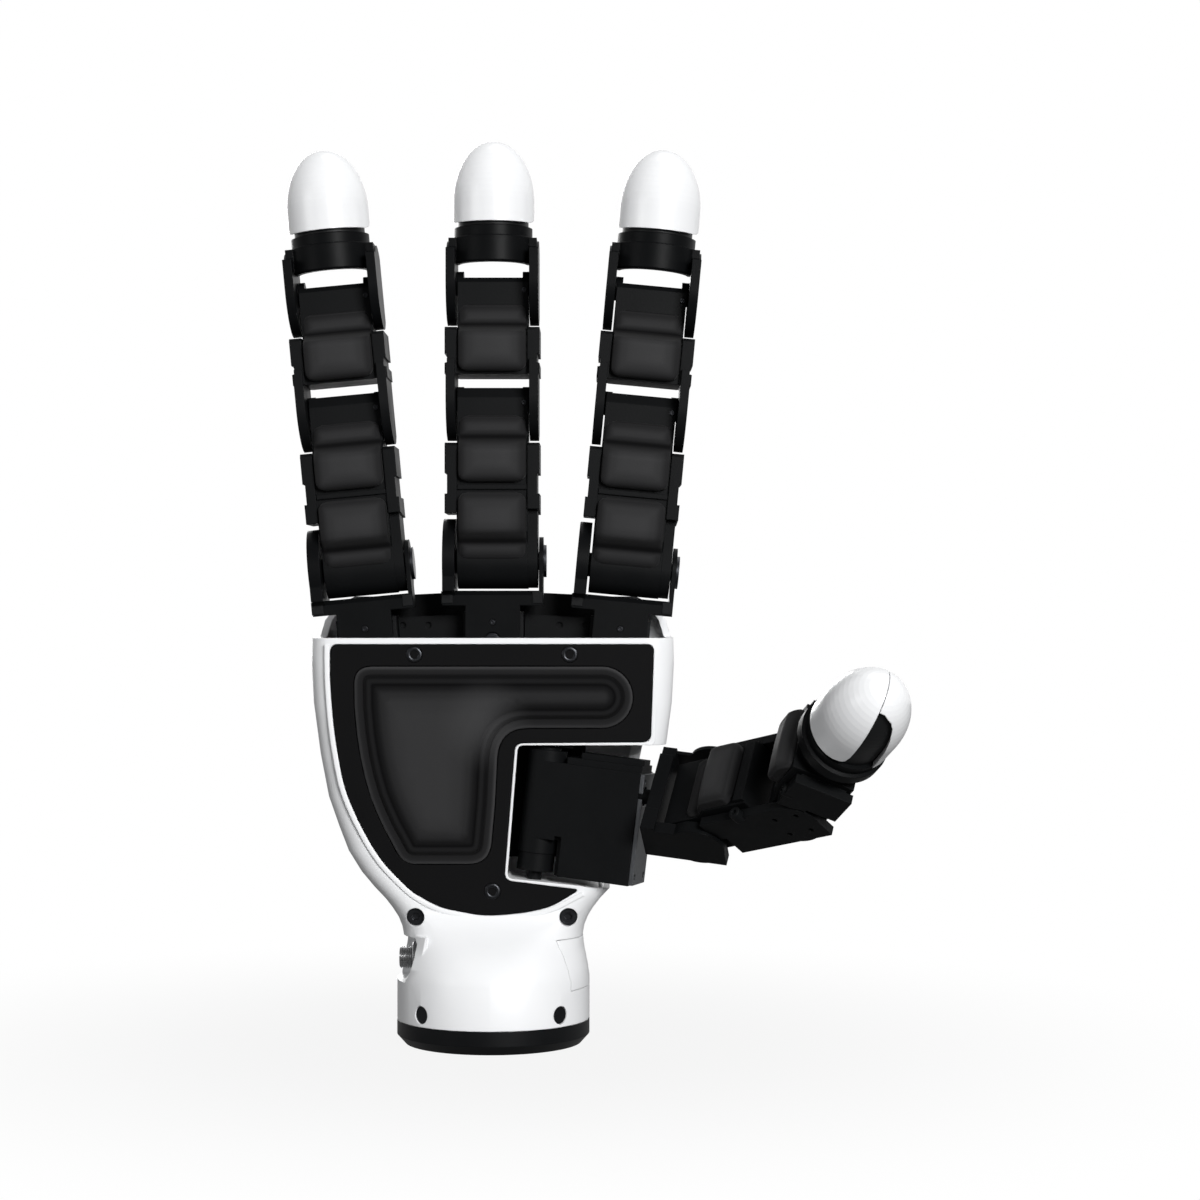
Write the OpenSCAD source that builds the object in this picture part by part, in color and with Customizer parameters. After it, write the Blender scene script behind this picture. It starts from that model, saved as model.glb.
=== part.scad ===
// Dexterous robot hand: a wrist flange and palm that carry three fingers and a thumb.
// Millimetres.  +Z runs from the wrist flange to the fingertips, the palm faces -Y and
// the thumb stands on the +X side.  The origin is the centre of the flange's bottom face.

/* [Wrist] */
// Outer radius of the wrist flange
flange_r = 32; // [30:0.5:34]
// Height of the wrist flange
flange_h = 8; // [7:0.5:9]
// Pitch circle of the four robot bolts
bolt_pcd = 50; // [48:1:50]
// Radius of each robot bolt hole
bolt_hole_r = 3.3; // [3:0.1:3.5]
// Radius of the pilot bore in the flange
pilot_r = 15.75; // [14:0.25:16]

/* [Palm] */
// Half of the palm's width at its widest
palm_half_w = 60; // [59:0.5:62]
// Height of the front casing's top edge
palm_top = 134.3; // [133:0.1:136]
// Distance from the finger plane to the palm's front face
palm_front = 14; // [13.5:0.1:14.5]
// Distance from the finger plane to the back of the hand
palm_back = 30; // [28:0.5:32]
// Wall of the white casings
wall = 2.4; // [2:0.1:3]
// How far the rubber pad stands out of the palm plate
palm_pad_h = 3.4; // [2.5:0.1:4]

/* [Fingers] */
// Sideways distance between finger bases
finger_pitch = 41.6; // [41:0.1:43]
// Outward lean of the two outer fingers
finger_splay = 5.4; // [5:0.1:6]
// Height of the middle finger's swing axis
middle_base_z = 133.6; // [133:0.1:135]
// How much lower the outer fingers start
outer_drop = 2.2; // [1.5:0.1:3]
// Swing axis to knuckle axis
knuckle_len = 26.2; // [25.5:0.1:27]
// Knuckle axis to middle joint axis
proximal_len = 54; // [53:0.5:55]
// Middle joint axis to end joint axis
medial_len = 38.4; // [38:0.1:40]
// End joint axis to fingertip
tip_len = 47.3; // [46:0.1:49]
// Half width of the link bodies between the fork arms
body_hw = 11.7; // [11.5:0.1:11.7]
// Half width over the fork arms
arm_hw = 15.2; // [15.2:0.1:15.4]
// Radius of the fork arms' round ends
lobe_r = 14; // [13.5:0.1:14]

/* [Thumb] */
// Turn of the thumb module towards the palm
thumb_yaw = 14.3; // [10:0.1:18]
// Roll of the thumb about its own length
thumb_roll = 35.5; // [30:0.5:40]
// Bend of the thumb's first flexing joint
thumb_flex_1 = 31.2; // [25:0.1:35]
// Bend of the thumb's last joint
thumb_flex_2 = 31.9; // [25:0.1:35]
// Thumb swing axis to the start of the roll fork
thumb_reach = 38.3; // [38:0.1:39]
// Roll fork to the first flexing axis
thumb_fork_len = 17.7; // [17:0.1:18.5]
// First flexing axis to the last one
thumb_mid_len = 38.4; // [38:0.1:39]
// Last flexing axis to the foot of the white thumb tip
thumb_neck_len = 38.5; // [38:0.1:39.5]

/* [Hidden] */
$fn = 48;
palm_nodes = ["base_flange", "palm_shell", "rear_cover", "palm_plate", "palm_pad",
  "chassis_frame", "abduction_motors", "control_board", "base_screws", "palm_screws",
  "service_hatch", "data_connector"];
finger_names = ["ring", "middle", "index"];
finger_nodes = ["knuckle_fork", "knuckle_cap", "proximal_housing", "proximal_pads",
  "proximal_motors", "medial_housing", "medial_pad", "medial_motor", "distal_fork",
  "tip_core", "tip_front_shell", "tip_rear_shell"];
thumb_nodes = ["thumb_base_housing", "thumb_roll_motor", "thumb_roll_fork",
  "thumb_knuckle_cap", "thumb_proximal_housing", "thumb_proximal_pad",
  "thumb_distal_housing", "thumb_distal_pad", "thumb_collar", "thumb_tip_core",
  "thumb_tip_front_shell", "thumb_tip_rear_shell"];

plastic = "#26282b";
rubber = "#1b1c1e";
metal = "#3a3c40";
white_shell = "#e9ebec";

fit = 0.05;         // radial clearance of a running pin
tip_r = 13.6;       // radius of a fingertip
tip_foot = 18.4;    // foot of the white fingertip above the end joint axis
tip_wall = 1.8;     // wall of the white fingertip
seam = 0.1;         // half of the seam between a fingertip's two halves
pin_r = 4;          // radius of a hinge stub
collar_r = 14.2;    // radius of the collar under a fingertip
dorsal = 9;         // depth of the fork arms behind the joint axes

// ---------------------------------------------------------------- placing

// i is -1 for the ring finger, 0 for the middle finger and 1 for the index finger
module finger_frame(i, height = 0)
  translate([i * finger_pitch, 0, middle_base_z - abs(i) * outer_drop])
    rotate([0, i * finger_splay, 0])
      translate([0, 0, height])
        children();

z_j1 = knuckle_len;
z_j2 = z_j1 + proximal_len;
z_j3 = z_j2 + medial_len;

thumb_base = [17.25, -6.3, 86.4];  // point on the thumb's swing axis
thumb_lean = 6.6;                  // outward lean of that axis
thumb_offset = 3;                  // roll axis in front of the swing axis
thumb_head = 12;                   // top of the swing column above that point
thumb_foot = -29;                  // its lower end

// z runs along the thumb's swing axis
module thumb_pivot_frame()
  translate(thumb_base)
    rotate([0, thumb_lean, 0])
      children();

// x runs outwards along the thumb, z along the swing axis
module thumb_module_frame()
  thumb_pivot_frame()
    rotate([0, 0, -thumb_yaw])
      children();

// the flexing links are drawn like a finger: z along the link, -y to the palm side
module thumb_fork_frame()
  thumb_module_frame()
    translate([thumb_reach + thumb_fork_len, -thumb_offset, 0])
      rotate([-thumb_roll, 0, 0])
        rotate([0, 90, 0])
          children();

module thumb_mid_frame()
  thumb_fork_frame()
    rotate([thumb_flex_1, 0, 0])
      children();

module thumb_end_frame()
  thumb_mid_frame()
    translate([0, 0, thumb_mid_len])
      rotate([thumb_flex_2, 0, 0])
        children();

// ---------------------------------------------------------------- helpers

// a side outline (x is depth, y is height) swept along X from x0 to x1
module swept(x0, x1)
  translate([x0, 0, 0])
    rotate([90, 0, 90])
      linear_extrude(x1 - x0)
        children();

// a front outline (x across, y up) swept in depth from y0 to y1
module slab(y0, y1)
  translate([0, y1, 0])
    rotate([90, 0, 0])
      linear_extrude(y1 - y0)
        children();

// a round bar along X from x0 to x1
module bar_x(r, x0, x1)
  translate([x0, 0, 0])
    rotate([0, 90, 0])
      cylinder(r = r, h = x1 - x0);

// a round bar along Y from y0 to y1
module bar_y(r, y0, y1)
  translate([0, y0, 0])
    rotate([-90, 0, 0])
      cylinder(r = r, h = y1 - y0);

// smooth curve through [height, value] pairs: slope at a point from its neighbours
function slope(t, i) =
  let (a = max(i - 1, 0), b = min(i + 1, len(t) - 1))
  (t[b][1] - t[a][1]) / (t[b][0] - t[a][0]);
function span(t, z, i = 0) =
  i >= len(t) - 2 || z <= t[i + 1][0] ? i : span(t, z, i + 1);
function smooth(t, z) =
  let (
    i = span(t, z),
    h = t[i + 1][0] - t[i][0],
    u = max(0, min(1, (z - t[i][0]) / h))
  )
  t[i][1] * (1 + 2 * u) * pow(1 - u, 2) + t[i + 1][1] * u * u * (3 - 2 * u)
  + slope(t, i) * h * u * pow(1 - u, 2) - slope(t, i + 1) * h * u * u * (1 - u);

// a closed outline whose points [x, y, reach] are eased into short curves; a point
// without a reach stays a corner
function eased(points) =
  let (n = len(points))
  [for (k = [0:n - 1])
    let (
      b = [points[k][0], points[k][1]],
      before = points[(k + n - 1) % n],
      after = points[(k + 1) % n],
      u = [before[0], before[1]] - b,
      v = [after[0], after[1]] - b,
      want = points[k][2] == undef ? 0 : points[k][2],
      reach = min(want, 0.45 * norm(u), 0.45 * norm(v)),
      p = b + u / norm(u) * reach,
      q = b + v / norm(v) * reach
    )
    for (t = reach > 0 ? [0:0.2:1] : [0])
      p * (1 - t) * (1 - t) + b * 2 * t * (1 - t) + q * t * t
  ];

// ---------------------------------------------------------------- palm casing

// half width, front depth, back depth and corner radii of the casing at each height
casing_w = [[8, 32], [22, 32], [30, 30.6], [36, 29.8], [41.5, 31.2], [47, 34.6],
  [52, 39.2], [61, 46.2], [72, 50.8], [82, 54.3], [96, 57], [113, 59.3], [126, 60],
  [134, 59.8], [140, 58], [145, 54], [148, 48]];
casing_f = [[8, 32], [22, 32], [30, 27], [38, 18], [44, palm_front], [148, palm_front]];
casing_b = [[8, 32], [22, 32], [36, 29.5], [50, palm_back], [130, palm_back], [148, 27]];
casing_rf = [[8, 32], [22, 32], [30, 27], [38, 16], [46, 9], [148, 9]];
casing_rb = [[8, 32], [22, 32], [36, 28], [60, 24], [110, 22], [134, 14], [148, 12]];
ring_steps = 9;   // points on each round corner of a ring

function corner(cx, cy, r, a0, z) = [
  for (k = [0:ring_steps - 1])
    let (a = a0 + 90 * k / (ring_steps - 1))
    [cx + r * cos(a), cy + r * sin(a), z]
];
function casing_ring(z, inset = 0) =
  let (
    w = smooth(casing_w, z) * palm_half_w / 60,
    f = smooth(casing_f, z),
    b = smooth(casing_b, z),
    rf = min(smooth(casing_rf, z), min(f, w) - 0.5),
    rb = min(smooth(casing_rb, z), min(b, w) - 0.5)
  )
  concat(
    corner(w - rf, -f + rf, rf - inset, -90, z),
    corner(w - rb, b - rb, rb - inset, 0, z),
    corner(-w + rb, b - rb, rb - inset, 90, z),
    corner(-w + rf, -f + rf, rf - inset, 180, z)
  );
casing_heights = [8, 22, 26, 30, 33, 36, 39, 42, 45, 48, 52, 57, 64, 72, 82, 96, 113,
  126, 134, 140, 145, 148];

// the whole casing as a loft, one ring of points at each height; an inset gives the
// room inside a wall of that thickness
module casing_form(inset = 0) {
  foot = casing_heights[0];
  crown = casing_heights[len(casing_heights) - 1];
  rings = [
    for (z = casing_heights)
      casing_ring(z == foot ? foot - inset : min(z, crown - inset), inset)
  ];
  n = len(rings[0]);
  m = len(rings);
  points = [for (r = rings) for (p = r) p];
  sides = [
    for (j = [0:m - 2]) for (k = [0:n - 1])
      let (a = j * n + k, b = j * n + (k + 1) % n)
      for (face = [[a, b + n, b], [a, a + n, b + n]]) face
  ];
  polyhedron(
    points,
    concat(sides, [[for (k = [0:n - 1]) k]], [[for (k = [n - 1:-1:0]) (m - 1) * n + k]])
  );
}

split_y = 7;       // where the front casing meets the rear cover
neck_top = 46;     // below this height the casing is one piece

// outline of the black palm plate, grown or shrunk by d
plate_left = [[46, 17], [50.5, 25.5], [61.2, 36.2], [72.7, 42.9], [84.8, 48.2],
  [102.8, 51.5], [120, 52.9], [132.2, 53]];
plate_corner = 2.6;  // reach of the plate's eased corners

module plate_outline(d = 0)
  polygon(eased(concat(
    [[-smooth(plate_left, 132.2) - d, 132.2 + d, plate_corner]],
    [for (z = [126 : -3 : 47]) [-smooth(plate_left, z) - d, z]],
    [[-16 - 0.5 * d, 45.7 - d, 5], [-4, 43.4 - d, 3], [2.7, 43.4 - d, 3],
     [12, 44.4 - d, 4], [19.6, 46.2 - d, 3.4], [28.9 + d, 51.8, 2.2],
     [4 + d, 54.7 + d, plate_corner],
     [7.6 + d, 99.9 - d, plate_corner], [52.1 + d, 100.2 - d, plate_corner],
     [53.2 + d, 132.2 + d, plate_corner]]
  )));

// opening in the casing behind the palm plate
module plate_window()
  polygon(concat(
    [for (z = [129 : -3 : 51]) [-smooth(plate_left, z) + 3, z]],
    [[-12, 47.6], [-4, 46.6], [1, 46.6], [1.6, 57], [4.8, 98.5], [8.6, 103],
     [49.2, 103.2], [50.2, 129]]
  ));

// outline of the thumb bay, open towards +X
module bay_outline()
  polygon(eased([[5, 55.4, 2], [27, 53.2], [70, 47], [90, 60], [90, 99.1],
    [8.5, 99.1, 2]]));

bay_back = 24;     // depth of the bay's rear wall

front_wall = 3.6;  // front of the casing around the palm plate
connector_z = 27.8;
hatch_angle = -15;   // the hatch's middle, turned from +X towards the palm
neck_screws = [[-25.1, 42.7], [25.1, 42.7]];
cover_screws = [[-30, 66], [-42, 124], [30, 66], [42, 124]];

// the part of the casing that the service hatch fills, grown by d
module hatch_wedge(d = 0)
  rotate([0, 0, hatch_angle])
    translate([18, -11.2 - d, 19.2 - d]) cube([20, 22.4 + 2 * d, 16.2 + 2 * d]);

module palm_shell() {
  color(white_shell)
  difference() {
    union() {
      difference() {
        casing_form();
        casing_form(wall);
      }
      // ledge under the palm plate
      slab(-palm_front + 1, -palm_front + front_wall) plate_outline(1.5);
      // floor of the thumb bay, and the seat of the thumb's lower pivot
      slab(-palm_front + front_wall - 0.2, split_y)
        polygon([[5, 56.4], [8, 55.4], [27, 53.4], [35, 52.2], [35, 50.2], [27, 51.4],
          [5, 53.8]]);
      thumb_pivot_frame() translate([0, 0, thumb_foot - 5]) cylinder(r = 6.6, h = 4.6);
      // screw bosses at the neck
      for (p = neck_screws) {
        translate([p[0], 0, p[1]]) bar_y(4, -9.3, -6.5);
        translate([p[0] * 0.92, 0, p[1]]) bar_y(3.8, -12, -6.5);
      }
      // pocket behind the data connector
      intersection() {
        translate([0, 0, 19.5]) cylinder(r1 = 31, r2 = 28.7, h = 17);
        translate([-40, -19, 19]) cube([19, 28.5, 20]);
      }
    }
    // the part behind the split belongs to the rear cover
    translate([-100, split_y, neck_top]) cube([200, 60, 200]);
    // the fingers' swing brackets come out here
    translate([-100, -30, palm_top]) cube([200, 60, 60]);
    // seat of the palm plate, and the opening behind it
    slab(-palm_front - 1, -palm_front + plate_t) plate_outline(0.15);
    slab(-palm_front, 0) plate_window();
    // thumb bay
    slab(-60, bay_back) bay_outline();
    thumb_pivot_frame() translate([0, 0, thumb_foot - 6.4]) cylinder(r = 2.5 + fit, h = 8);
    // radial screws of the flange
    for (a = [45:90:315])
      rotate([0, 0, a]) translate([0, 0, 11.9]) bar_x(2.95, 25, 40);
    // notch and bore of the data connector
    slab(-30, 8)
      polygon([[-40, 21.4], [-28.6, 21.4], [-26.6, 25], [-25.3, 29.5], [-24.4, 34],
        [-25, 35.7], [-40, 36.6]]);
    translate([-40, -6, 22]) cube([14.8, 12, 12.2]);
    translate([0, 0, connector_z]) bar_x(3.7, -26, -20);
    // service hatch on the thumb side
    hatch_wedge(0.15);
    // counterbored screws at the neck
    for (p = neck_screws)
      translate([p[0], 0, p[1]]) bar_y(3, -40, -8.5);
  }
}

module rear_cover() {
  color(white_shell)
  difference() {
    union() {
      difference() {
        casing_form();
        casing_form(wall);
      }
      for (p = cover_screws)
        translate([p[0], 0, p[1]]) bar_y(4.6, bay_back + 0.4, palm_back - 1.4);
    }
    translate([-100, -60, 0]) cube([200, 60 + split_y + 0.3, 200]);
    translate([-100, -60, 0]) cube([200, 120, neck_top + 0.3]);
    // above the front casing only the back of the cover goes on
    translate([-100, -60, palm_top]) cube([200, 60 + cover_lip_y, 60]);
    slab(-60, bay_back) bay_outline();
    for (p = cover_screws)
      translate([p[0], 0, p[1]]) {
        bar_y(3, palm_back - 3, palm_back + 5);
        bar_y(1.3, bay_back, palm_back);
      }
  }
}

cover_lip_y = 17.3;   // front of the cover's top part, behind the chassis
plate_t = 2.3;        // thickness of the palm plate
plate_screws = [[-25.5, 128.9], [25.5, 128.9], [0.2, 51.2]];

// outline of the rubber palm pad, grown or shrunk by d
pad_left = [[60.2, 28.3], [67.3, 32.8], [76.6, 37.5], [88.7, 41.6], [102.8, 44.2],
  [111.7, 45]];
module pad_outline(d = 0)
  polygon(eased(concat(
    [for (z = [111.7 : -4.2 : 68]) [-smooth(pad_left, z) - d, z]],
    [[-29 - 1.2 * d, 60.2 - d, 5 + 0.8 * d], [-0.8 + d, 60.2 - d, 7 + d],
     [1 + d, 80], [2.2 + d, 104.8 - d, 10 - d]],
    [for (a = [0:15:180]) [36.2 + (10.05 + d) * sin(a), 114.85 - (10.05 + d) * cos(a)]],
    [[-45.2 - d, 124.9 + d, 10 + d]]
  )));

module palm_plate() {
  color(plastic)
  difference() {
    slab(-palm_front, -palm_front + plate_t) plate_outline(0);
    // the pad's foot sits in a groove
    slab(-palm_front - 1, -palm_front + 1) pad_outline(0.3);
    for (p = plate_screws)
      translate([p[0], 0, p[1]]) bar_y(1.25, -palm_front - 1, -palm_front + 4);
    for (p = plate_screws)
      translate([p[0], 0, p[1]]) bar_y(2.7, -palm_front - 1, -palm_front + 1);
  }
}

module palm_pad() {
  color(rubber) {
    slab(-palm_front - 0.6, -palm_front + 0.9) pad_outline(0);
    slab(-palm_front - palm_pad_h + 1, -palm_front + 0.9) pad_outline(-3.2);
    slab(-palm_front - palm_pad_h, -palm_front + 0.9) pad_outline(-5);
  }
}

// ---------------------------------------------------------------- wrist pieces

module base_flange() {
  color(plastic)
  difference() {
    union() {
      rotate_extrude($fn = 96)
        polygon([[0, 0], [flange_r - 2.7, 0], [flange_r, 3], [flange_r, flange_h - 0.1],
          [0, flange_h - 0.1]]);
      // four lugs that take the radial screws
      for (a = [45:90:315])
        rotate([0, 0, a]) translate([22.5, -6, 4]) cube([5.5, 12, 13]);
    }
    translate([0, 0, -1]) cylinder(r = pilot_r, h = flange_h + 2);
    for (a = [0:90:270])
      rotate([0, 0, a]) translate([bolt_pcd / 2, 0, 0]) {
        translate([0, 0, -1]) cylinder(r = bolt_hole_r, h = flange_h + 2);
        translate([0, 0, 4.5]) cylinder(r = 5.5, h = flange_h);
      }
    for (a = [45:90:315])
      rotate([0, 0, a]) translate([0, 0, 11.9]) bar_x(1.5, 20, 30);
  }
}

module base_screws() {
  color(metal)
  for (a = [45:90:315])
    rotate([0, 0, a]) translate([0, 0, 11.9]) {
      bar_x(2.8, 28.05, 31.6);
      bar_x(1.45, 23, 28.1);
    }
}

module service_hatch() {
  color(white_shell)
  intersection() {
    difference() {
      casing_form();
      casing_form(wall);
    }
    hatch_wedge();
  }
}

module data_connector() {
  color(metal)
  translate([0, 0, connector_z]) {
    difference() {
      union() {
        bar_x(3.65, -31, -20.5);
        bar_x(5.2, -26.8, -25.25);
      }
      bar_x(2.6, -32, -26);
    }
    bar_x(1.2, -29.5, -25.5);
  }
}

module palm_screws() {
  color(metal) {
    for (p = plate_screws)
      translate([p[0], 0, p[1]]) {
        difference() {
          bar_y(2.6, -palm_front - 0.1, -palm_front + 0.95);
          bar_y(1.2, -palm_front - 1, -palm_front + 0.5);
        }
        bar_y(1.2, -palm_front + 0.5, -palm_front + 2.3);
      }
    for (p = neck_screws)
      translate([p[0], 0, p[1]])
        difference() {
          bar_y(2.9, -11.5, -8.5);
          translate([0, -12, 0]) rotate([-90, 0, 0]) cylinder(r = 1.4, h = 2, $fn = 6);
        }
    for (p = cover_screws)
      translate([p[0], 0, p[1]]) {
        difference() {
          bar_y(2.9, palm_back - 3, palm_back - 1);
          translate([0, palm_back - 2.2, 0]) rotate([-90, 0, 0])
            cylinder(r = 1.4, h = 2, $fn = 6);
        }
        bar_y(1.2, bay_back + 0.6, palm_back - 2.9);
      }
  }
}

// ---------------------------------------------------------------- chassis

motor_hw = 10;      // half width of a swing motor

module chassis_frame() {
  color(plastic)
  difference() {
    union() {
      // rear wall with its arched top edge
      slab(14, 17)
        intersection() {
          translate([0, 149.5 - chassis_arch]) circle(chassis_arch, $fn = 360);
          polygon([[-52, 104], [52, 104], [52, 138], [47, 150], [-47, 150], [-52, 138]]);
        }
      // front wall between the brackets
      slab(4, 6)
        intersection() {
          translate([0, 142 - chassis_arch]) circle(chassis_arch, $fn = 360);
          translate([-52, 104]) square([104, 60]);
        }
      // floor that ties the walls together, and its cheeks
      translate([-52, 4, 104]) cube([104, 13, 3]);
      for (s = [-1, 1])
        translate([s * 50.5 - 1.5, 4, 104]) cube([3, 13, 30]);
      // dark wall that closes the thumb bay towards the back
      slab(14, 17) polygon([[2, 60], [29, 60], [31, 105], [2, 105]]);
      // spine down to the wrist
      translate([-6, 10, 30]) cube([9, 7, 78]);
      translate([-22, 8, 30]) cube([44, 9, 6]);
      // bracket of the thumb's upper pivot
      thumb_pivot_frame() translate([-8, -4, thumb_head + 0.4]) cube([16, 26, 6]);
    }
    for (i = [-1:1])
      finger_frame(i)
        translate([-motor_hw - 0.3, -5, -24]) cube([2 * motor_hw + 0.6, 18.6, 33.6]);
    for (x = [-30.5, -22, 22, 30.5])
      translate([x, 0, 138.4]) bar_y(1, 3, 5);
    thumb_pivot_frame() translate([0, 0, thumb_head]) cylinder(r = 2.5 + fit, h = 4.4);
  }
}

chassis_arch = 450;  // radius of the chassis walls' arched tops

module swing_motor() {
  difference() {
    translate([-motor_hw, -1.5, -23.5]) cube([2 * motor_hw, 14.8, 32.8]);
    for (x = [-8, 8], z = [-21.5, 7.5])
      translate([x, 0, z]) bar_y(0.9, -2, 0.5);
  }
  bar_y(8.2, -4.1, -1.4);
}

module abduction_motors() {
  color(metal)
  for (i = [-1:1])
    finger_frame(i) swing_motor();
}

module control_board() {
  color("#1f4d3a") {
    translate([-40, 20, 62]) cube([42, 1.6, 62]);
    translate([-24, 21.6, 84]) cube([12, 1.2, 12]);
    translate([-8, 21.6, 100]) cube([8, 2.4, 16]);
  }
}

// ---------------------------------------------------------------- finger

// side outline of one fork arm: round on the palm side, cut off flat behind
module arm_outline(top, r = lobe_r) {
  intersection() {
    circle(r, $fn = 96);
    translate([-r, -r]) square([r + dorsal, 2 * r]);
  }
  translate([-r, 0]) square([r + dorsal, top]);
}

module knuckle_fork() {
  difference() {
    union() {
      // plate that bolts to the swing motor's horn
      slab(-8, -4.5)
        union() {
          circle(9);
          translate([-9, 0]) square([18, 12]);
        }
      // cross bar
      swept(-16.7, 16.7)
        polygon([[-8, 11.4], [-8, 14.8], [-6.5, 16.3], [-2, 16.3], [-2, 11.4]]);
      // motor side arm with a round head
      translate([0, 0, z_j1])
        swept(-16.4, -12.4)
          difference() {
            union() {
              intersection() {
                circle(lobe_r, $fn = 96);
                translate([-lobe_r, -lobe_r]) square([lobe_r + dorsal, 2 * lobe_r]);
              }
              translate([-lobe_r + 1, -z_j1 + 16.2]) square([lobe_r + 2.5, z_j1 - 16.2]);
            }
          }
      // thin arm on the other side
      translate([0, 0, z_j1])
        swept(15.3, 16.7)
          union() {
            circle(8);
            translate([-8, -z_j1 + 11.4]) square([11.5, z_j1 - 11.4]);
          }
      // hinge stub
      translate([0, 0, z_j1]) bar_x(pin_r, -12.5, -9.8);
    }
    translate([0, 0, z_j1]) bar_x(3.03, 14, 18);
    for (a = [0:90:270])
      rotate([0, a, 0]) translate([5.85, 0, 0]) bar_y(1, -9, -4);
    bar_y(2.6, -9, -4);
  }
}

module knuckle_cap() {
  translate([0, 0, z_j1]) {
    bar_x(5.4, 16.75, 17.7);
    bar_x(3, 10.5, 16.8);
  }
}

flange_top = proximal_len - 15.2;   // shoulders of the proximal link
shoulder_hw = 15.6;

// side outline of the proximal link's body, knuckle axis at the origin
module proximal_outline() {
  circle(9.3, $fn = 64);
  polygon([
    [-9.3, 0], [-9.3, 6], [-11.5, 9.6], [-11.5, proximal_len - 16.6],
    [-6.9, proximal_len - 12.6], [-6.9, proximal_len], [-5.2, proximal_len + 3.3],
    [6.5, proximal_len + 3.3], [10, proximal_len], [10, 3], [9.2, 0]
  ]);
}

module proximal_housing() {
  translate([0, 0, z_j1])
  difference() {
    union() {
      swept(-body_hw, body_hw) proximal_outline();
      // shoulders beside the body
      swept(-shoulder_hw, -body_hw + 0.1)
        polygon([[-12.5, 15.6], [-12.5, flange_top - 1], [-11.5, flange_top],
          [dorsal, flange_top], [dorsal, 15.6]]);
      swept(body_hw - 0.1, shoulder_hw)
        polygon([[-12.5, 17], [-12.5, flange_top - 1], [-11.5, flange_top],
          [dorsal, flange_top], [dorsal, 15.6], [8, 15.6]]);
      // motor gearbox cheek beside the thin arm
      swept(body_hw - 0.1, 14.9)
        union() {
          circle(9, $fn = 64);
          translate([-9, 0]) square([17, 18]);
        }
      // bar between the two pads
      translate([-11.4, -12.4, 23.4]) cube([22.8, 2, 1.6]);
    }
    // bores for the hinge stubs
    bar_x(pin_r + fit, -body_hw - 1, -9.6);
    bar_x(3 + fit, 10.4, 16);
    translate([0, 0, proximal_len]) bar_x(pin_r + fit, -body_hw - 1, -9.6);
    translate([0, 0, proximal_len]) bar_x(pin_r + fit, 9.6, body_hw + 1);
    // shallow side windows in the shoulders
    for (s = [-1, 1])
      translate([s * 15.6 - 0.8, -14, 22]) cube([1.6, 24, 6.8]);
    // motor bays, open to the back
    for (z = [-3, proximal_len / 2 + 1])
      translate([-9.2, -5.2, z]) cube([18.4, 12.4, 26]);
  }
}

module proximal_motors() {
  translate([0, 0, z_j1])
  for (z = [-2.8, proximal_len / 2 + 1.2])
    translate([-9, -5, z]) cube([18, 12, 25.6]);
}

module proximal_pads()
  translate([0, 0, z_j1]) {
    // lower pad: lip at the knuckle
    swept(-11.2, 11.2)
      polygon([[-9.35, 0.4], [-9.7, 0.8], [-9.9, 5.6], [-15.3, 9.6], [-15.5, 21],
        [-14.5, 22.4], [-11.55, 22.4], [-11.55, 9.6], [-9.35, 6]]);
    // upper pad: lip at the middle joint
    swept(-11.2, 11.2)
      polygon([[-11.55, 25.9], [-14.5, 25.9], [-15.5, 27.2], [-15.3, proximal_len - 17],
        [-7.2, proximal_len - 12.2], [-7.2, proximal_len - 6.2],
        [-6.95, proximal_len - 6.2], [-6.95, proximal_len - 12.6],
        [-11.55, proximal_len - 16.65]]);
  }

medial_foot = 7.4;     // lower edge of the medial body above its joint axis
medial_shoulder = 22.9;

module medial_outline()
  polygon([
    [-11.5, medial_foot], [-11.5, medial_len - 18.4], [-5.3, medial_len - 14.6],
    [-5.3, medial_len], [-4, medial_len + 1.6], [6, medial_len + 1.6],
    [10, medial_len - 2], [10, medial_foot]
  ]);

module medial_housing() {
  translate([0, 0, z_j2])
  difference() {
    union() {
      swept(-body_hw, body_hw) medial_outline();
      // fork arms that reach down to the middle joint, with shoulders on top
      for (s = [-1, 1])
        swept(s > 0 ? 12.2 : -arm_hw, s > 0 ? arm_hw : -12.2) arm_outline(medial_foot + 5);
      for (s = [-1, 1])
        swept(s > 0 ? body_hw - 0.1 : -shoulder_hw, s > 0 ? shoulder_hw : -body_hw + 0.1)
          polygon([[-12.5, medial_foot], [-12.5, medial_shoulder - 1],
            [-11.5, medial_shoulder], [dorsal, medial_shoulder], [dorsal, medial_foot]]);
      for (s = [-1, 1])
        bar_x(pin_r, s > 0 ? 9.8 : -12.3, s > 0 ? 12.3 : -9.8);
    }
    translate([0, 0, medial_len]) bar_x(pin_r + fit, -body_hw - 1, -9.6);
    translate([0, 0, medial_len]) bar_x(pin_r + fit, 9.6, body_hw + 1);
    for (s = [-1, 1])
      translate([s * 15.6 - 0.8, -14, 11]) cube([1.6, 24, 3]);
    translate([-9.2, -4.4, medial_len - 27.8]) cube([18.4, 11.6, 13]);
  }
}

module medial_motor()
  translate([-9, -4.2, z_j2 + medial_len - 27.6]) cube([18, 11.2, 12.6]);

module medial_pad()
  translate([0, 0, z_j2])
    swept(-11.2, 11.2)
      polygon([[-11.55, 8.2], [-14.5, 8.2], [-15.5, 9.4], [-15.3, medial_len - 17.6],
        [-5.6, medial_len - 14.2], [-5.6, medial_len - 7.4], [-5.35, medial_len - 7.4],
        [-5.35, medial_len - 14.6], [-11.55, medial_len - 18.45]]);

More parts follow.
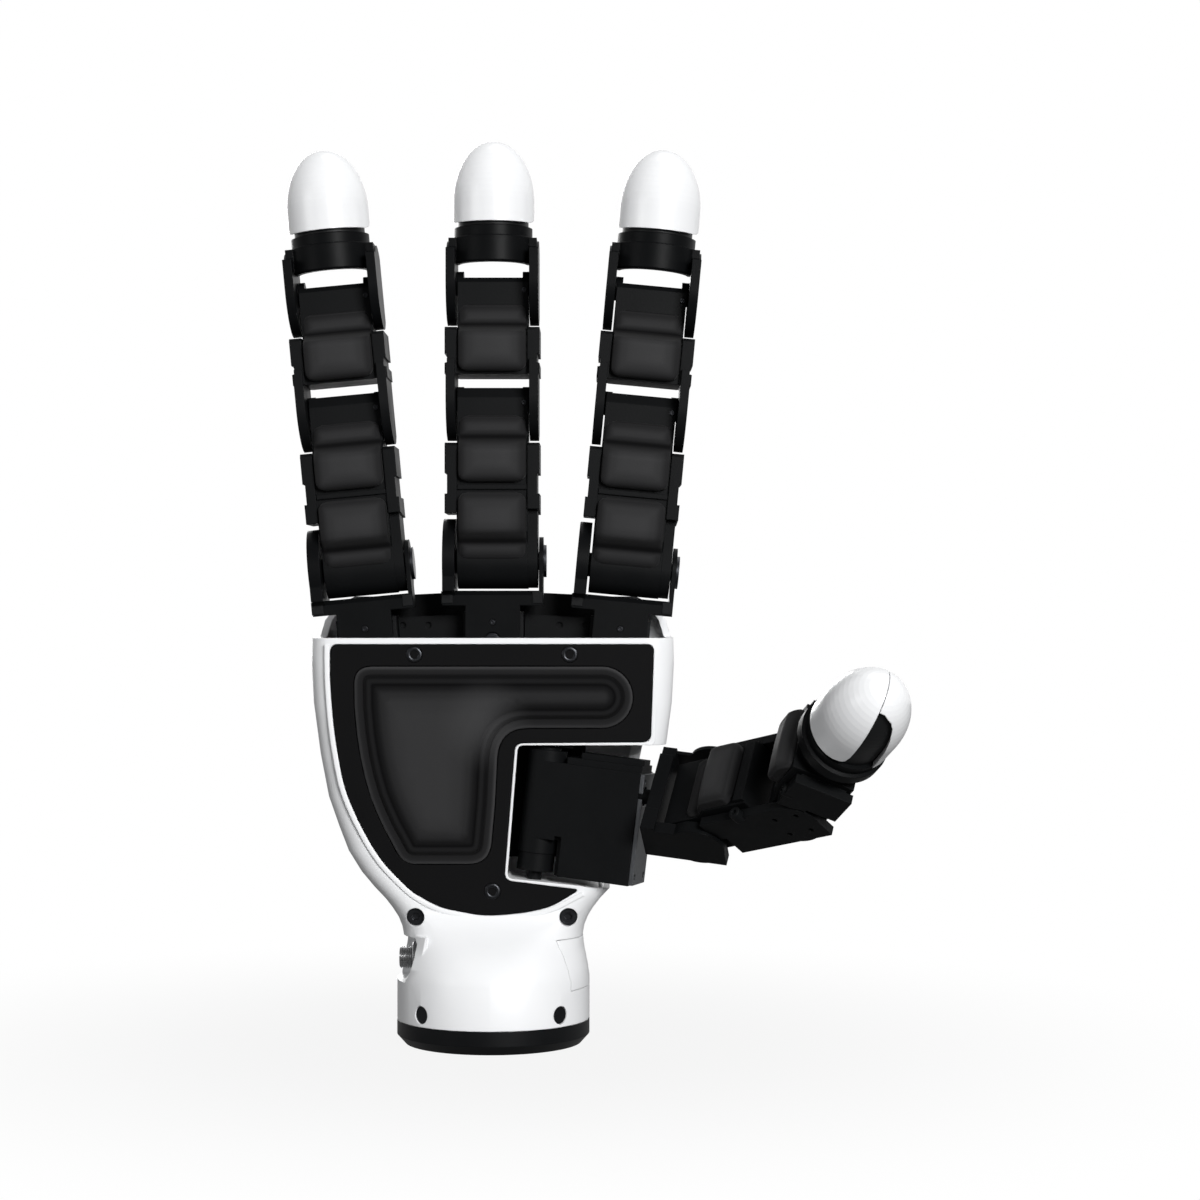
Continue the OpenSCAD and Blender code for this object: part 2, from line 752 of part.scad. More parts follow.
// collar, neck and arms under a fingertip; z is measured from the end joint axis
module collar(foot, top) {
  rotate_extrude($fn = 96)
    polygon([[0, top - 3.6], [11.5, top - 3.6], [11.5, foot], [collar_r - 0.6, foot],
      [collar_r, foot + 0.6], [collar_r, top - 3.9], [13, top - 3.6], [13, top - 0.3],
      [0, top - 0.3]]);
}

module distal_fork() {
  translate([0, 0, z_j3]) {
    // the collar's rear is cut back, clear of the link below when it bends
    difference() {
      collar(5.9, tip_foot);
      translate([-20, -2, 4]) cube([40, 20, 6.4]);
    }
    for (s = [-1, 1])
      difference() {
        union() {
          swept(s > 0 ? 12.2 : -arm_hw, s > 0 ? arm_hw : -12.2) arm_outline(10.4);
          swept(s > 0 ? 12 : -14.6, s > 0 ? 14.6 : -12)
            translate([-8, 10]) square([16, 4.3]);
        }
        cylinder(r = 11.5, h = 12);
      }
    for (s = [-1, 1])
      bar_x(pin_r, s > 0 ? 9.8 : -12.3, s > 0 ? 12.3 : -9.8);
  }
}

// half outline of a fingertip: straight flanks and an egg-shaped end
module tip_profile(r, len) {
  dome = 1.48 * r;   // height of the egg-shaped end
  polygon(concat(
    [[0, 0], [r, 0]],
    [for (a = [0:6:84]) [r * cos(a), len - dome + dome * sin(a)]],
    [[0, len]]
  ));
}

// side window of the rear half, which shows the core, and the front half's lower corner
module tip_window(front)
  swept(-20, 20)
    polygon(front
      ? [[1, -1], [1, 6.2], [-0.1, 6.2], [-0.6, 3.5], [-1.7, 2.4], [-3.7, 1.6], [-6.2, 1.1],
         [-14, 0.9], [-14, -1]]
      : [[-1, -1], [-1, 25.4], [0.2, 25.4], [1.9, 25.2], [4.9, 23.2], [6.3, 21.2],
         [7.7, 16.5], [8.5, 11.7], [9.1, 4.6], [9.3, -1]]);

module tip_shell(front) {
  difference() {
    rotate_extrude($fn = 96) tip_profile(tip_r, tip_len - tip_foot);
    rotate_extrude($fn = 96) tip_profile(tip_r - tip_wall, tip_len - tip_foot - tip_wall);
    translate([0, 0, -0.1]) cylinder(r = tip_r - tip_wall, h = 2);
    translate([-30, front ? -seam : seam - 60, -1]) cube([60, 60, 60]);
    tip_window(front);
  }
}

module tip_core() {
  difference() {
    rotate_extrude($fn = 64)
      tip_profile(tip_r - tip_wall - 0.1, tip_len - tip_foot - tip_wall - 0.1);
    translate([0, 0, -0.1]) cylinder(r = 5, h = 14);
  }
}

module tip_core_at() translate([0, 0, z_j3 + tip_foot]) tip_core();
module tip_shell_at(front) translate([0, 0, z_j3 + tip_foot]) tip_shell(front);

// ---------------------------------------------------------------- thumb

column_r = 6.4;        // round end of the base block, about the swing axis
block_x = 33.4;        // outer end of the base block
fork_r = 9.2;          // round ends of the thumb's fork arms
fork_foot = -18;       // rear face of the roll fork
joint_air = 0.7;       // air around the fork arms' round ends
corner_y = 8.7;        // square corner behind those round ends
corner_z = 9;
plate_x = [12.2, 15.3];  // side plates of the thumb's links
plate_foot = 7.8;      // where they begin, clear of the arm that they swing past
root_r = 12.2;         // reach of the first link behind its hinge

module thumb_base_housing()
  color(plastic)
  thumb_module_frame()
  difference() {
    union() {
      // swing column, its stepped foot and its two pivots
      translate([0, 0, -23]) cylinder(r = column_r, h = thumb_head + 22);
      translate([0, 0, thumb_foot]) cylinder(r = 6, h = 6.1);
      translate([0, 0, thumb_foot - 4.6]) cylinder(r = 2.5, h = 5);
      translate([0, 0, thumb_head - 1.1]) cylinder(r = 4.4, h = 1.1);
      translate([0, 0, thumb_head - 0.1]) cylinder(r = 2.5, h = 4);
      // gearbox block: its front runs into the column, its foot is notched around it
      translate([0, 0, -18])
        linear_extrude(25.5)
          polygon([[0, -column_r], [block_x, -column_r], [block_x, 11], [3, 11],
            [-column_r * 0.7, column_r * 0.7]]);
      translate([7.6, -column_r, -29.5]) cube([block_x - 7.6, 17.4, 12]);
      // rails on top of the block
      translate([8, -4.5, 7.4]) cube([block_x - 8, 14, 2.2]);
      translate([12, -2, 9.5]) cube([block_x - 12, 8, 2]);
    }
    translate([0, -thumb_offset, 0]) bar_x(2.5 + fit, 28, block_x + 1);
    translate([7.9, -3.5, -27]) cube([20.6, 15, 30]);
    // notch around the foot of the column
    translate([7, -column_r - 1, -30]) cube([2.4, 3.8, 13.4]);
  }

module thumb_roll_motor()
  color(metal)
  thumb_module_frame() {
    translate([8.1, -3.3, -26.8]) cube([20.2, 14, 29.6]);
    // face plate of the gearbox
    difference() {
      translate([block_x + 0.05, -column_r + 0.3, -29.2]) cube([1.4, 17, 36.4]);
      translate([0, -thumb_offset, 0]) bar_x(3.2, block_x, block_x + 2);
      for (y = [-4, 8], z = [-26.5, 4.5])
        translate([0, y, z]) bar_x(1.1, block_x, block_x + 2);
    }
  }

// side outline of a fork arm: round head with a square corner on the rear side
module fork_head() {
  circle(fork_r, $fn = 64);
  square([corner_y, corner_z]);
}

module thumb_roll_fork()
  color(plastic)
  thumb_fork_frame()
  difference() {
    union() {
      // base plate across the roll axis: set back at one end, thicker at the other
      translate([-16.9, -5, fork_foot]) cube([33.3, 12, 4.6]);
      translate([-12.9, -7, fork_foot]) cube([22, 14, 4.6]);
      translate([8.4, -7.6, fork_foot]) cube([8, 16.3, 4.6]);
      translate([0, 0, fork_foot - 7]) cylinder(r = 2.5, h = 7.1);
      // near arm, and the thin arm on the other side
      for (x = [[12.4, 16.4, -6], [-16.9, -15.7, -3.5]])
        swept(x[0], x[1])
          union() {
            fork_head();
            translate([x[2], fork_foot]) square([corner_y - x[2], -fork_foot]);
          }
      bar_x(pin_r, 9.8, 12.5);
    }
    bar_x(3.03, -18, -14);
  }

module thumb_knuckle_cap()
  color(metal)
  thumb_fork_frame() {
    bar_x(5.4, -17.9, -16.95);
    bar_x(3, -16.8, -10.5);
  }

// the two side plates of a thumb link
module side_plates()
  for (s = [-1, 1])
    swept(s > 0 ? plate_x[0] : -plate_x[1], s > 0 ? plate_x[1] : -plate_x[0])
      children();

// cheeks that carry the side plates
module side_cheeks(z0, z1)
  for (s = [-1, 1])
    translate([s > 0 ? body_hw - 0.1 : -plate_x[0] - 0.1, -7.6, z0])
      cube([plate_x[0] - body_hw + 0.2, 15, z1 - z0]);

module thumb_proximal_housing()
  color(plastic)
  thumb_mid_frame()
  difference() {
    union() {
      swept(-body_hw, body_hw)
        union() {
          intersection() {
            circle(root_r, $fn = 64);
            translate([-9, -root_r]) square([18, root_r + 1]);
          }
          polygon([[-9, 0], [-9, 6], [-11.5, 9.6], [-11.5, 26.6], [9, 26.6], [9, 0]]);
        }
      // wide rib above the pad
      translate([-11.2, -13, 22.8]) cube([22.4, 2, 3.8]);
      side_plates()
        difference() {
          union() {
            translate([0, thumb_mid_len]) fork_head();
            translate([-fork_r, plate_foot])
              square([fork_r + corner_y, thumb_mid_len - plate_foot]);
          }
          circle(fork_r + joint_air, $fn = 64);
          square([20, 12]);
        }
      side_cheeks(12.5, 25);
      for (s = [-1, 1])
        translate([0, 0, thumb_mid_len])
          bar_x(pin_r, s > 0 ? 9.8 : -12.3, s > 0 ? 12.3 : -9.8);
    }
    bar_x(pin_r + fit, 9.6, body_hw + 1);
    bar_x(3 + fit, -body_hw - 1, -10.4);
    for (a = [45:90:315])
      translate([0, 0, thumb_mid_len])
        rotate([a, 0, 0]) translate([0, 5.85, 0]) bar_x(0.9, 14.3, 16);
  }

module thumb_proximal_pad()
  color(rubber)
  thumb_mid_frame()
    swept(-11.2, 11.2)
      polygon([[-9.05, 0.4], [-9.4, 0.8], [-9.6, 5.6], [-15.3, 9.6], [-15.5, 20.2],
        [-14.5, 21.6], [-11.55, 21.6], [-11.55, 9.6], [-9.05, 6]]);

module thumb_distal_housing()
  color(plastic)
  thumb_end_frame()
  difference() {
    union() {
      swept(-body_hw, body_hw)
        union() {
          circle(9, $fn = 64);
          polygon([[-9, 0], [-9, 6], [-11.5, 10.4], [-11.5, 26], [9, 26], [9, 0]]);
        }
      side_plates()
        difference() {
          translate([-fork_r, plate_foot + 1])
            square([fork_r + 9.8, 23 - plate_foot]);
          circle(fork_r + joint_air, $fn = 64);
          translate([0, -1]) square([20, 12]);
        }
      side_cheeks(12.5, 24);
      translate([0, 0, 20]) cylinder(r = 11.4, h = 14.8);
    }
    for (s = [-1, 1])
      bar_x(pin_r + fit, s > 0 ? 9.6 : -12.8, s > 0 ? 12.8 : -9.6);
  }

module thumb_distal_pad()
  color(rubber)
  thumb_end_frame()
    swept(-11.2, 11.2)
      polygon([[-11.55, 11], [-15, 11.2], [-15.5, 12.2], [-15.5, 20], [-12, 25],
        [-11.55, 25]]);

module thumb_collar()
  color(plastic)
  thumb_end_frame()
    collar(30.2, thumb_neck_len);

module thumb_tip_core()
  color(plastic)
  thumb_end_frame() translate([0, 0, thumb_neck_len]) tip_core();

module thumb_tip_front_shell()
  color(white_shell)
  thumb_end_frame() translate([0, 0, thumb_neck_len]) tip_shell(true);

module thumb_tip_rear_shell()
  color(white_shell)
  thumb_end_frame() translate([0, 0, thumb_neck_len]) tip_shell(false);

// ---------------------------------------------------------------- drawing

base_flange();
palm_shell();
rear_cover();
palm_plate();
palm_pad();
chassis_frame();
abduction_motors();
control_board();
base_screws();
palm_screws();
service_hatch();
data_connector();

module finger_part(i, colour) color(colour) finger_frame(i) children();

for (i = [-1:1]) {
  name = finger_names[i + 1];
  finger_part(i, plastic) knuckle_fork();
  finger_part(i, metal) knuckle_cap();
  finger_part(i, plastic) proximal_housing();
  finger_part(i, rubber) proximal_pads();
  finger_part(i, metal) proximal_motors();
  finger_part(i, plastic) medial_housing();
  finger_part(i, rubber) medial_pad();
  finger_part(i, metal) medial_motor();
  finger_part(i, plastic) distal_fork();
  finger_part(i, plastic) tip_core_at();
  finger_part(i, white_shell) tip_shell_at(true);
  finger_part(i, white_shell) tip_shell_at(false);
}
thumb_base_housing();
thumb_roll_motor();
thumb_roll_fork();
thumb_knuckle_cap();
thumb_proximal_housing();
thumb_proximal_pad();
thumb_distal_housing();
thumb_distal_pad();
thumb_collar();
thumb_tip_core();
thumb_tip_front_shell();
thumb_tip_rear_shell();
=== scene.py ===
"""Looks of a dexterous robot hand: a white palm casing on a black wrist flange, three
black fingers and a thumb with white tips and rubber grip pads."""

import math

import bmesh
import bpy
from mathutils import Matrix, Vector
from mathutils.geometry import delaunay_2d_cdt


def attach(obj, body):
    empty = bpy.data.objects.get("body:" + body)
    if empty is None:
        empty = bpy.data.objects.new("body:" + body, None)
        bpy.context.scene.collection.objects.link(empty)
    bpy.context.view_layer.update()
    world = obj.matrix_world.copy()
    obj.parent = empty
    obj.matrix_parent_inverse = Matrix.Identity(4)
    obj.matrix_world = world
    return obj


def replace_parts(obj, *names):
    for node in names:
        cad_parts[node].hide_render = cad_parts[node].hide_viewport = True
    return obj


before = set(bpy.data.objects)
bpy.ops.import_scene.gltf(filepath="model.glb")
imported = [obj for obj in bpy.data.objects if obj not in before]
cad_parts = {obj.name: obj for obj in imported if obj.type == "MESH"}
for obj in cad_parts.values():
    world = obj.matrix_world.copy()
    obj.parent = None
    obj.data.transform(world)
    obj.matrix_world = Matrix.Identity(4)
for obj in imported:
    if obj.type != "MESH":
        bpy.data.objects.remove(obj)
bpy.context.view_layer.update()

MM = 0.001
FINGERS = {"ring": -1, "middle": 0, "index": 1}
FINGER_PITCH, FINGER_BASE, FINGER_DROP, FINGER_LEAN = 41.6, 133.6, 2.2, 5.4
PLATE_FRONT = -14.0  # y of the palm plate's front face


# ---------------------------------------------------------------- where things are
# The hand's own frames, in millimetres. In a link's frame z runs along the link and
# -y faces the palm side.


def move(x, y, z):
    return Matrix.Translation((x, y, z))


def turn(degrees, axis):
    return Matrix.Rotation(math.radians(degrees), 4, axis)


def finger_at(side, height=0.0):
    return (
        move(side * FINGER_PITCH, 0, FINGER_BASE - abs(side) * FINGER_DROP)
        @ turn(side * FINGER_LEAN, "Y")
        @ move(0, 0, height)
    )


# heights of a finger's first and second hinge over its base
KNUCKLE, MIDDLE = 26.2, 80.2
THUMB_PIVOT = move(17.25, -6.3, 86.4) @ turn(6.6, "Y")
THUMB_MODULE = THUMB_PIVOT @ turn(-14.3, "Z")
THUMB_FORK = THUMB_MODULE @ move(56.0, -3, 0) @ turn(-35.5, "X") @ turn(90, "Y")
THUMB_MID = THUMB_FORK @ turn(31.2, "X")
THUMB_END = THUMB_MID @ move(0, 0, 38.4) @ turn(31.9, "X")


# ---------------------------------------------------------------- finishes


def linear(hexa):
    """An sRGB hex colour as the linear colour that a shader takes."""
    out = []
    for k in (1, 3, 5):
        c = int(hexa[k : k + 2], 16) / 255
        out.append(c / 12.92 if c <= 0.04045 else ((c + 0.055) / 1.055) ** 2.4)
    return (*out, 1.0)


def add(tree, kind, settings=None, inputs=None):
    """A node with its settings, and its inputs as values or as links."""
    made = tree.nodes.new(kind)
    for key, value in (settings or {}).items():
        setattr(made, key, value)
    for key, value in (inputs or {}).items():
        if isinstance(value, bpy.types.NodeSocket):
            tree.links.new(value, made.inputs[key])
        else:
            made.inputs[key].default_value = value
    return made


def finish_of(name):
    """An empty material and its shader, ready for a finish."""
    made = bpy.data.materials.new(name)
    made.use_nodes = True
    tree = made.node_tree
    tree.nodes.clear()
    shader = add(tree, "ShaderNodeBsdfPrincipled")
    out = add(tree, "ShaderNodeOutputMaterial")
    tree.links.new(shader.outputs["BSDF"], out.inputs["Surface"])
    return made, tree, shader


def moulded(name, tone, tone_2, grain_mm, grain, rough, spread, edge_mm, painted_shade=None,
            **shader_values):
    """A moulded surface: two close tones in soft clouds, the grain of the mould's wall,
    roughness that wanders a little, and edges that are softened as a mould leaves them.
    Where a piece's own attribute asks for painted shade, its colour is darkened towards the
    painted shade tone and its roughness rises."""
    made, tree, shader = finish_of(name)
    spot = add(tree, "ShaderNodeTexCoord").outputs["Object"]
    cloud = add(
        tree,
        "ShaderNodeTexNoise",
        None,
        {"Vector": spot, "Scale": 1 / (14 * MM), "Detail": 4.0, "Roughness": 0.6},
    )
    colour = add(
        tree,
        "ShaderNodeMix",
        {"data_type": "RGBA"},
        {"Factor": cloud.outputs["Fac"], "A": linear(tone), "B": linear(tone_2)},
    )
    # painted shade: the piece's attribute darkens its colour towards the painted shade tone,
    # standing in for shade in its steps and on its rims
    if painted_shade:
        painted_shading = add(tree, "ShaderNodeAttribute", {"attribute_name": "painted_shading"})
        colour = add(
            tree,
            "ShaderNodeMix",
            {"data_type": "RGBA"},
            {"Factor": painted_shading.outputs["Fac"], "A": colour.outputs["Result"],
             "B": linear(painted_shade)},
        )
    fine = add(
        tree,
        "ShaderNodeTexNoise",
        None,
        {"Vector": spot, "Scale": 1 / (grain_mm * MM), "Detail": 2.0},
    )
    gloss = add(
        tree,
        "ShaderNodeMapRange",
        None,
        {
            "Value": cloud.outputs["Fac"],
            "From Min": 0.3,
            "From Max": 0.7,
            "To Min": rough - spread,
            "To Max": rough + spread,
        },
    )
    if painted_shade:
        gloss = add(
            tree,
            "ShaderNodeMix",
            {"data_type": "FLOAT"},
            {"Factor": painted_shading.outputs["Fac"], "A": gloss.outputs["Result"], "B": 0.95},
        )
    edge = add(tree, "ShaderNodeBevel", {"samples": 4}, {"Radius": edge_mm * MM})
    bump = add(
        tree,
        "ShaderNodeBump",
        None,
        {
            "Height": fine.outputs["Fac"],
            "Strength": grain,
            "Distance": 0.05 * MM,
            "Normal": edge.outputs["Normal"],
        },
    )
    tree.links.new(colour.outputs["Result"], shader.inputs["Base Color"])
    tree.links.new(gloss.outputs["Result"], shader.inputs["Roughness"])
    tree.links.new(bump.outputs["Normal"], shader.inputs["Normal"])
    for key, value in shader_values.items():
        shader.inputs[key.replace("_", " ")].default_value = value
    return made


METAL_EDGE = 0.25  # radius that softens a metal's edges


def worked_metal(name, tone, tone_2, stretch, lines_mm, rough, spread):
    """A metal with the marks of its making: fine lines, stretched along one axis."""
    made, tree, shader = finish_of(name)
    spot = add(tree, "ShaderNodeTexCoord").outputs["Object"]
    along = add(tree, "ShaderNodeMapping", None, {"Vector": spot, "Scale": stretch})
    lines = add(
        tree,
        "ShaderNodeTexNoise",
        None,
        {"Vector": along.outputs["Vector"], "Scale": 1 / (lines_mm * MM), "Detail": 3.0},
    )
    colour = add(
        tree,
        "ShaderNodeMix",
        {"data_type": "RGBA"},
        {"Factor": lines.outputs["Fac"], "A": linear(tone), "B": linear(tone_2)},
    )
    gloss = add(
        tree,
        "ShaderNodeMapRange",
        None,
        {
            "Value": lines.outputs["Fac"],
            "From Min": 0.3,
            "From Max": 0.7,
            "To Min": rough - spread,
            "To Max": rough + spread,
        },
    )
    edge = add(tree, "ShaderNodeBevel", {"samples": 4}, {"Radius": METAL_EDGE * MM})
    bump = add(
        tree,
        "ShaderNodeBump",
        None,
        {
            "Height": lines.outputs["Fac"],
            "Strength": 0.12,
            "Distance": 0.02 * MM,
            "Normal": edge.outputs["Normal"],
        },
    )
    shader.inputs["Metallic"].default_value = 1.0
    tree.links.new(colour.outputs["Result"], shader.inputs["Base Color"])
    tree.links.new(gloss.outputs["Result"], shader.inputs["Roughness"])
    tree.links.new(bump.outputs["Normal"], shader.inputs["Normal"])
    return made


# White ABS, injection moulded in a polished tool: clean and slightly cool, with a
# faint orange peel that breaks up its reflections.
casing_abs = moulded(
    "abs_white_moulded", "#F6F7F8", "#F1F2F4", 1.6, 0.25, 0.33, 0.04, 0.5,
    Specular_IOR_Level=0.42,
)
# White ABS of the fingertips, polished further: a tight soft highlight on each dome.
tip_abs = moulded(
    "abs_white_polished", "#F3F4F5", "#EFF0F2", 1.4, 0.15, 0.24, 0.03, 0.4,
    Specular_IOR_Level=0.5,
)
# Black polycarbonate with a spark eroded grain: deep, dead matte front plate.
plate_pc = moulded(
    "polycarbonate_black_grained", "#0B0B0C", "#0E0E0F", 0.45, 0.5, 0.55, 0.05, 0.35,
    Specular_IOR_Level=0.06,
)
# Glass filled nylon, dyed graphite: finger and thumb bodies with a dry, fine grain.
link_nylon = moulded(
    "nylon_graphite_moulded", "#0D0E0F", "#111213", 0.5, 0.6, 0.5, 0.06, 0.4,
    Specular_IOR_Level=0.08,
)
# Hard anodised aluminium, bead blasted: fork arms and cross bars with crisp pale edges.
arm_anodised = moulded(
    "aluminium_black_anodised", "#0B0C0D", "#0F1011", 0.35, 0.45, 0.4, 0.05, 0.4,
    Specular_IOR_Level=0.06,
)
# The same anodising on a turned ring: a little glossier, with a satin band of light.
ring_anodised = moulded(
    "aluminium_black_turned", "#0B0C0D", "#0F1012", 0.4, 0.35, 0.34, 0.05, 0.4,
    Specular_IOR_Level=0.18,
)
# Silicone of the palm pad: soft black rubber with a faint dry sheen; its darkest tone is
# painted shade, laid into its steps.
palm_silicone = moulded(
    "silicone_black_cast", "#3A3A3B", "#404041", 0.8, 0.6, 0.62, 0.06, 0.3,
    "#040405", Specular_IOR_Level=0.12, Sheen_Weight=0.04, Sheen_Roughness=0.5,
)
# Silicone of the grip pads: a paler grey rubber, so the pads stand off the dark links. Its
# darkest tone is painted shade along its rims and across its bands.
grip_silicone = moulded(
    "silicone_grey_cast", "#2D2D2E", "#323233", 0.7, 0.6, 0.6, 0.06, 0.3,
    "#040405", Specular_IOR_Level=0.12, Sheen_Weight=0.04, Sheen_Roughness=0.5,
)
# Painted steel of the motor cans: mid grey with a fine powder texture.
motor_paint = moulded(
    "steel_powder_grey", "#101112", "#151617", 0.6, 0.7, 0.45, 0.06, 0.35,
    Specular_IOR_Level=0.12,
)
# Nylon of the core inside each fingertip: plain black, seen through the side windows.
core_nylon = moulded(
    "nylon_black_core", "#0F1011", "#141516", 0.6, 0.5, 0.48, 0.05, 0.3,
    Specular_IOR_Level=0.25,
)
# Screws in blackened steel: dark metal that glints at the rim and in the socket.
screw_steel = worked_metal(
    "steel_blackened_screw", "#2A2B2D", "#3A3B3E", (1.0, 1.0, 1.0), 0.25, 0.34, 0.08
)
# Burnished steel of the hinge caps: the brightest of the dark metals.
cap_steel = worked_metal(
    "steel_burnished_cap", "#3C3D40", "#4B4C50", (1.0, 6.0, 1.0), 0.4, 0.36, 0.08
)
# Cast aluminium face plate of the thumb's gearbox: dark anodised, brushed downwards.
gearbox_aluminium = worked_metal(
    "aluminium_brushed_gearbox", "#606265", "#6C6E71", (1.0, 1.0, 0.12), 0.3, 0.42, 0.08
)
# Nickel plated brass of the data socket: smooth and bright where the thread catches light.
socket_nickel = worked_metal(
    "brass_nickel_socket", "#A6A6A7", "#BDBDBE", (0.3, 1.0, 1.0), 0.3, 0.28, 0.06
)
# Fibreglass board under green solder mask: glossy, with copper planes showing through.
board_mask = moulded(
    "fibreglass_green_mask", "#12352A", "#1B4A3A", 2.0, 0.2, 0.3, 0.05, 0.2,
    Specular_IOR_Level=0.5,
)


# ---------------------------------------------------------------- finishes of the frame

FINISH = {
    "base_flange": ring_anodised,
    "palm_shell": casing_abs,
    "rear_cover": casing_abs,
    "service_hatch": casing_abs,
    "palm_plate": plate_pc,
    "chassis_frame": link_nylon,
    "abduction_motors": motor_paint,
    "control_board": board_mask,
    "base_screws": screw_steel,
    "palm_screws": screw_steel,
    "data_connector": socket_nickel,
    "knuckle_fork": arm_anodised,
    "knuckle_cap": cap_steel,
    "proximal_housing": link_nylon,
    "proximal_motors": motor_paint,
    "medial_housing": link_nylon,
    "medial_motor": motor_paint,
    "distal_fork": arm_anodised,
    "tip_core": core_nylon,
    "tip_front_shell": tip_abs,
    "tip_rear_shell": tip_abs,
    "thumb_base_housing": link_nylon,
    "thumb_roll_motor": gearbox_aluminium,
    "thumb_roll_fork": arm_anodised,
    "thumb_knuckle_cap": cap_steel,
    "thumb_proximal_housing": link_nylon,
    "thumb_distal_housing": link_nylon,
    "thumb_collar": arm_anodised,
    "thumb_tip_core": core_nylon,
    "thumb_tip_front_shell": tip_abs,
    "thumb_tip_rear_shell": tip_abs,
}
for node_name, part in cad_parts.items():
    plain = node_name
    for finger in FINGERS:
        plain = plain.removeprefix(finger + "_")
    if plain in FINISH:
        for slot in part.material_slots:
            slot.material = FINISH[plain]


# ---------------------------------------------------------------- making pieces


WELD = 0.002  # points closer than this become one
CREASE = 40  # degrees from which an edge of a piece stays sharp


def piece(name, points, faces, place, finish, body):
    """A mesh from millimetres in a frame of the hand, riding on one of its bodies."""
    mesh = bpy.data.meshes.new(name)
    scale = Matrix.Scale(MM, 4)
    mesh.from_pydata([scale @ (place @ Vector(p)) for p in points], [], faces)
    made = bpy.data.objects.new(name, mesh)
    bpy.context.scene.collection.objects.link(made)
    shape = bmesh.new()
    shape.from_mesh(mesh)
    bmesh.ops.remove_doubles(shape, verts=shape.verts, dist=WELD * MM)
    bmesh.ops.recalc_face_normals(shape, faces=shape.faces)
    shape.to_mesh(mesh)
    shape.free()
    mesh.materials.append(finish)
    for face in mesh.polygons:
        face.use_smooth = True
    mesh.set_sharp_from_angle(angle=math.radians(CREASE))
    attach(made, body)
    return made


def rounded(points, radius, steps=5):
    """An open line of points with each inner corner turned into a short curve."""
    out = [Vector(points[0])]
    for a, b, c in zip(points, points[1:], points[2:]):
        a, b, c = Vector(a), Vector(b), Vector(c)
        reach = min(radius, 0.45 * (a - b).length, 0.45 * (c - b).length)
        start = b + (a - b).normalized() * reach
        end = b + (c - b).normalized() * reach
        for k in range(steps + 1):
            u = k / steps
            out.append(start * (1 - u) ** 2 + b * 2 * u * (1 - u) + end * u * u)
    out.append(Vector(points[-1]))
    return out


def spaced(points, step):
    """The same line with points added wherever two are further apart than step."""
    out = [points[0]]
    for a, b in zip(points, points[1:]):
        count = max(1, math.ceil((b - a).length / step))
        out.extend(a.lerp(b, k / count) for k in range(1, count + 1))
    return out


def between(table, x):
    """A value from a table of pairs, eased between them."""
    for (x0, y0), (x1, y1) in zip(table, table[1:]):
        if x <= x1:
            u = max(0.0, (x - x0) / (x1 - x0))
            return y0 + (y1 - y0) * u * u * (3 - 2 * u)
    return table[-1][1]


def round_drop(radius, near):
    """How far a round-over falls at a distance from the edge that it rounds."""
    near = min(near, radius)
    return radius - math.sqrt(max(0.0, radius**2 - (radius - near) ** 2))


PAD_HALF = 11.2  # half of a pad's width
PAD_CORNER = 3.3  # radius of its corners in front view
PAD_SOFT = 1.5  # radius of the round-over along its rim
PAD_CROWN = 0.7  # how far its middle swells
PAD_FULL = 3.5  # depth from which it swells by all of that
PAINTED_BAND_HALF = 2.6  # half of the height of a band of painted shade
# how much painted shade darkens a pad, by the distance to its rim
GRIP_PAINTED_SHADE = [(0.0, 0.95), (0.5, 0.4), (1.0, 0.6), (3.5, 0.2), (6.5, 0.0)]


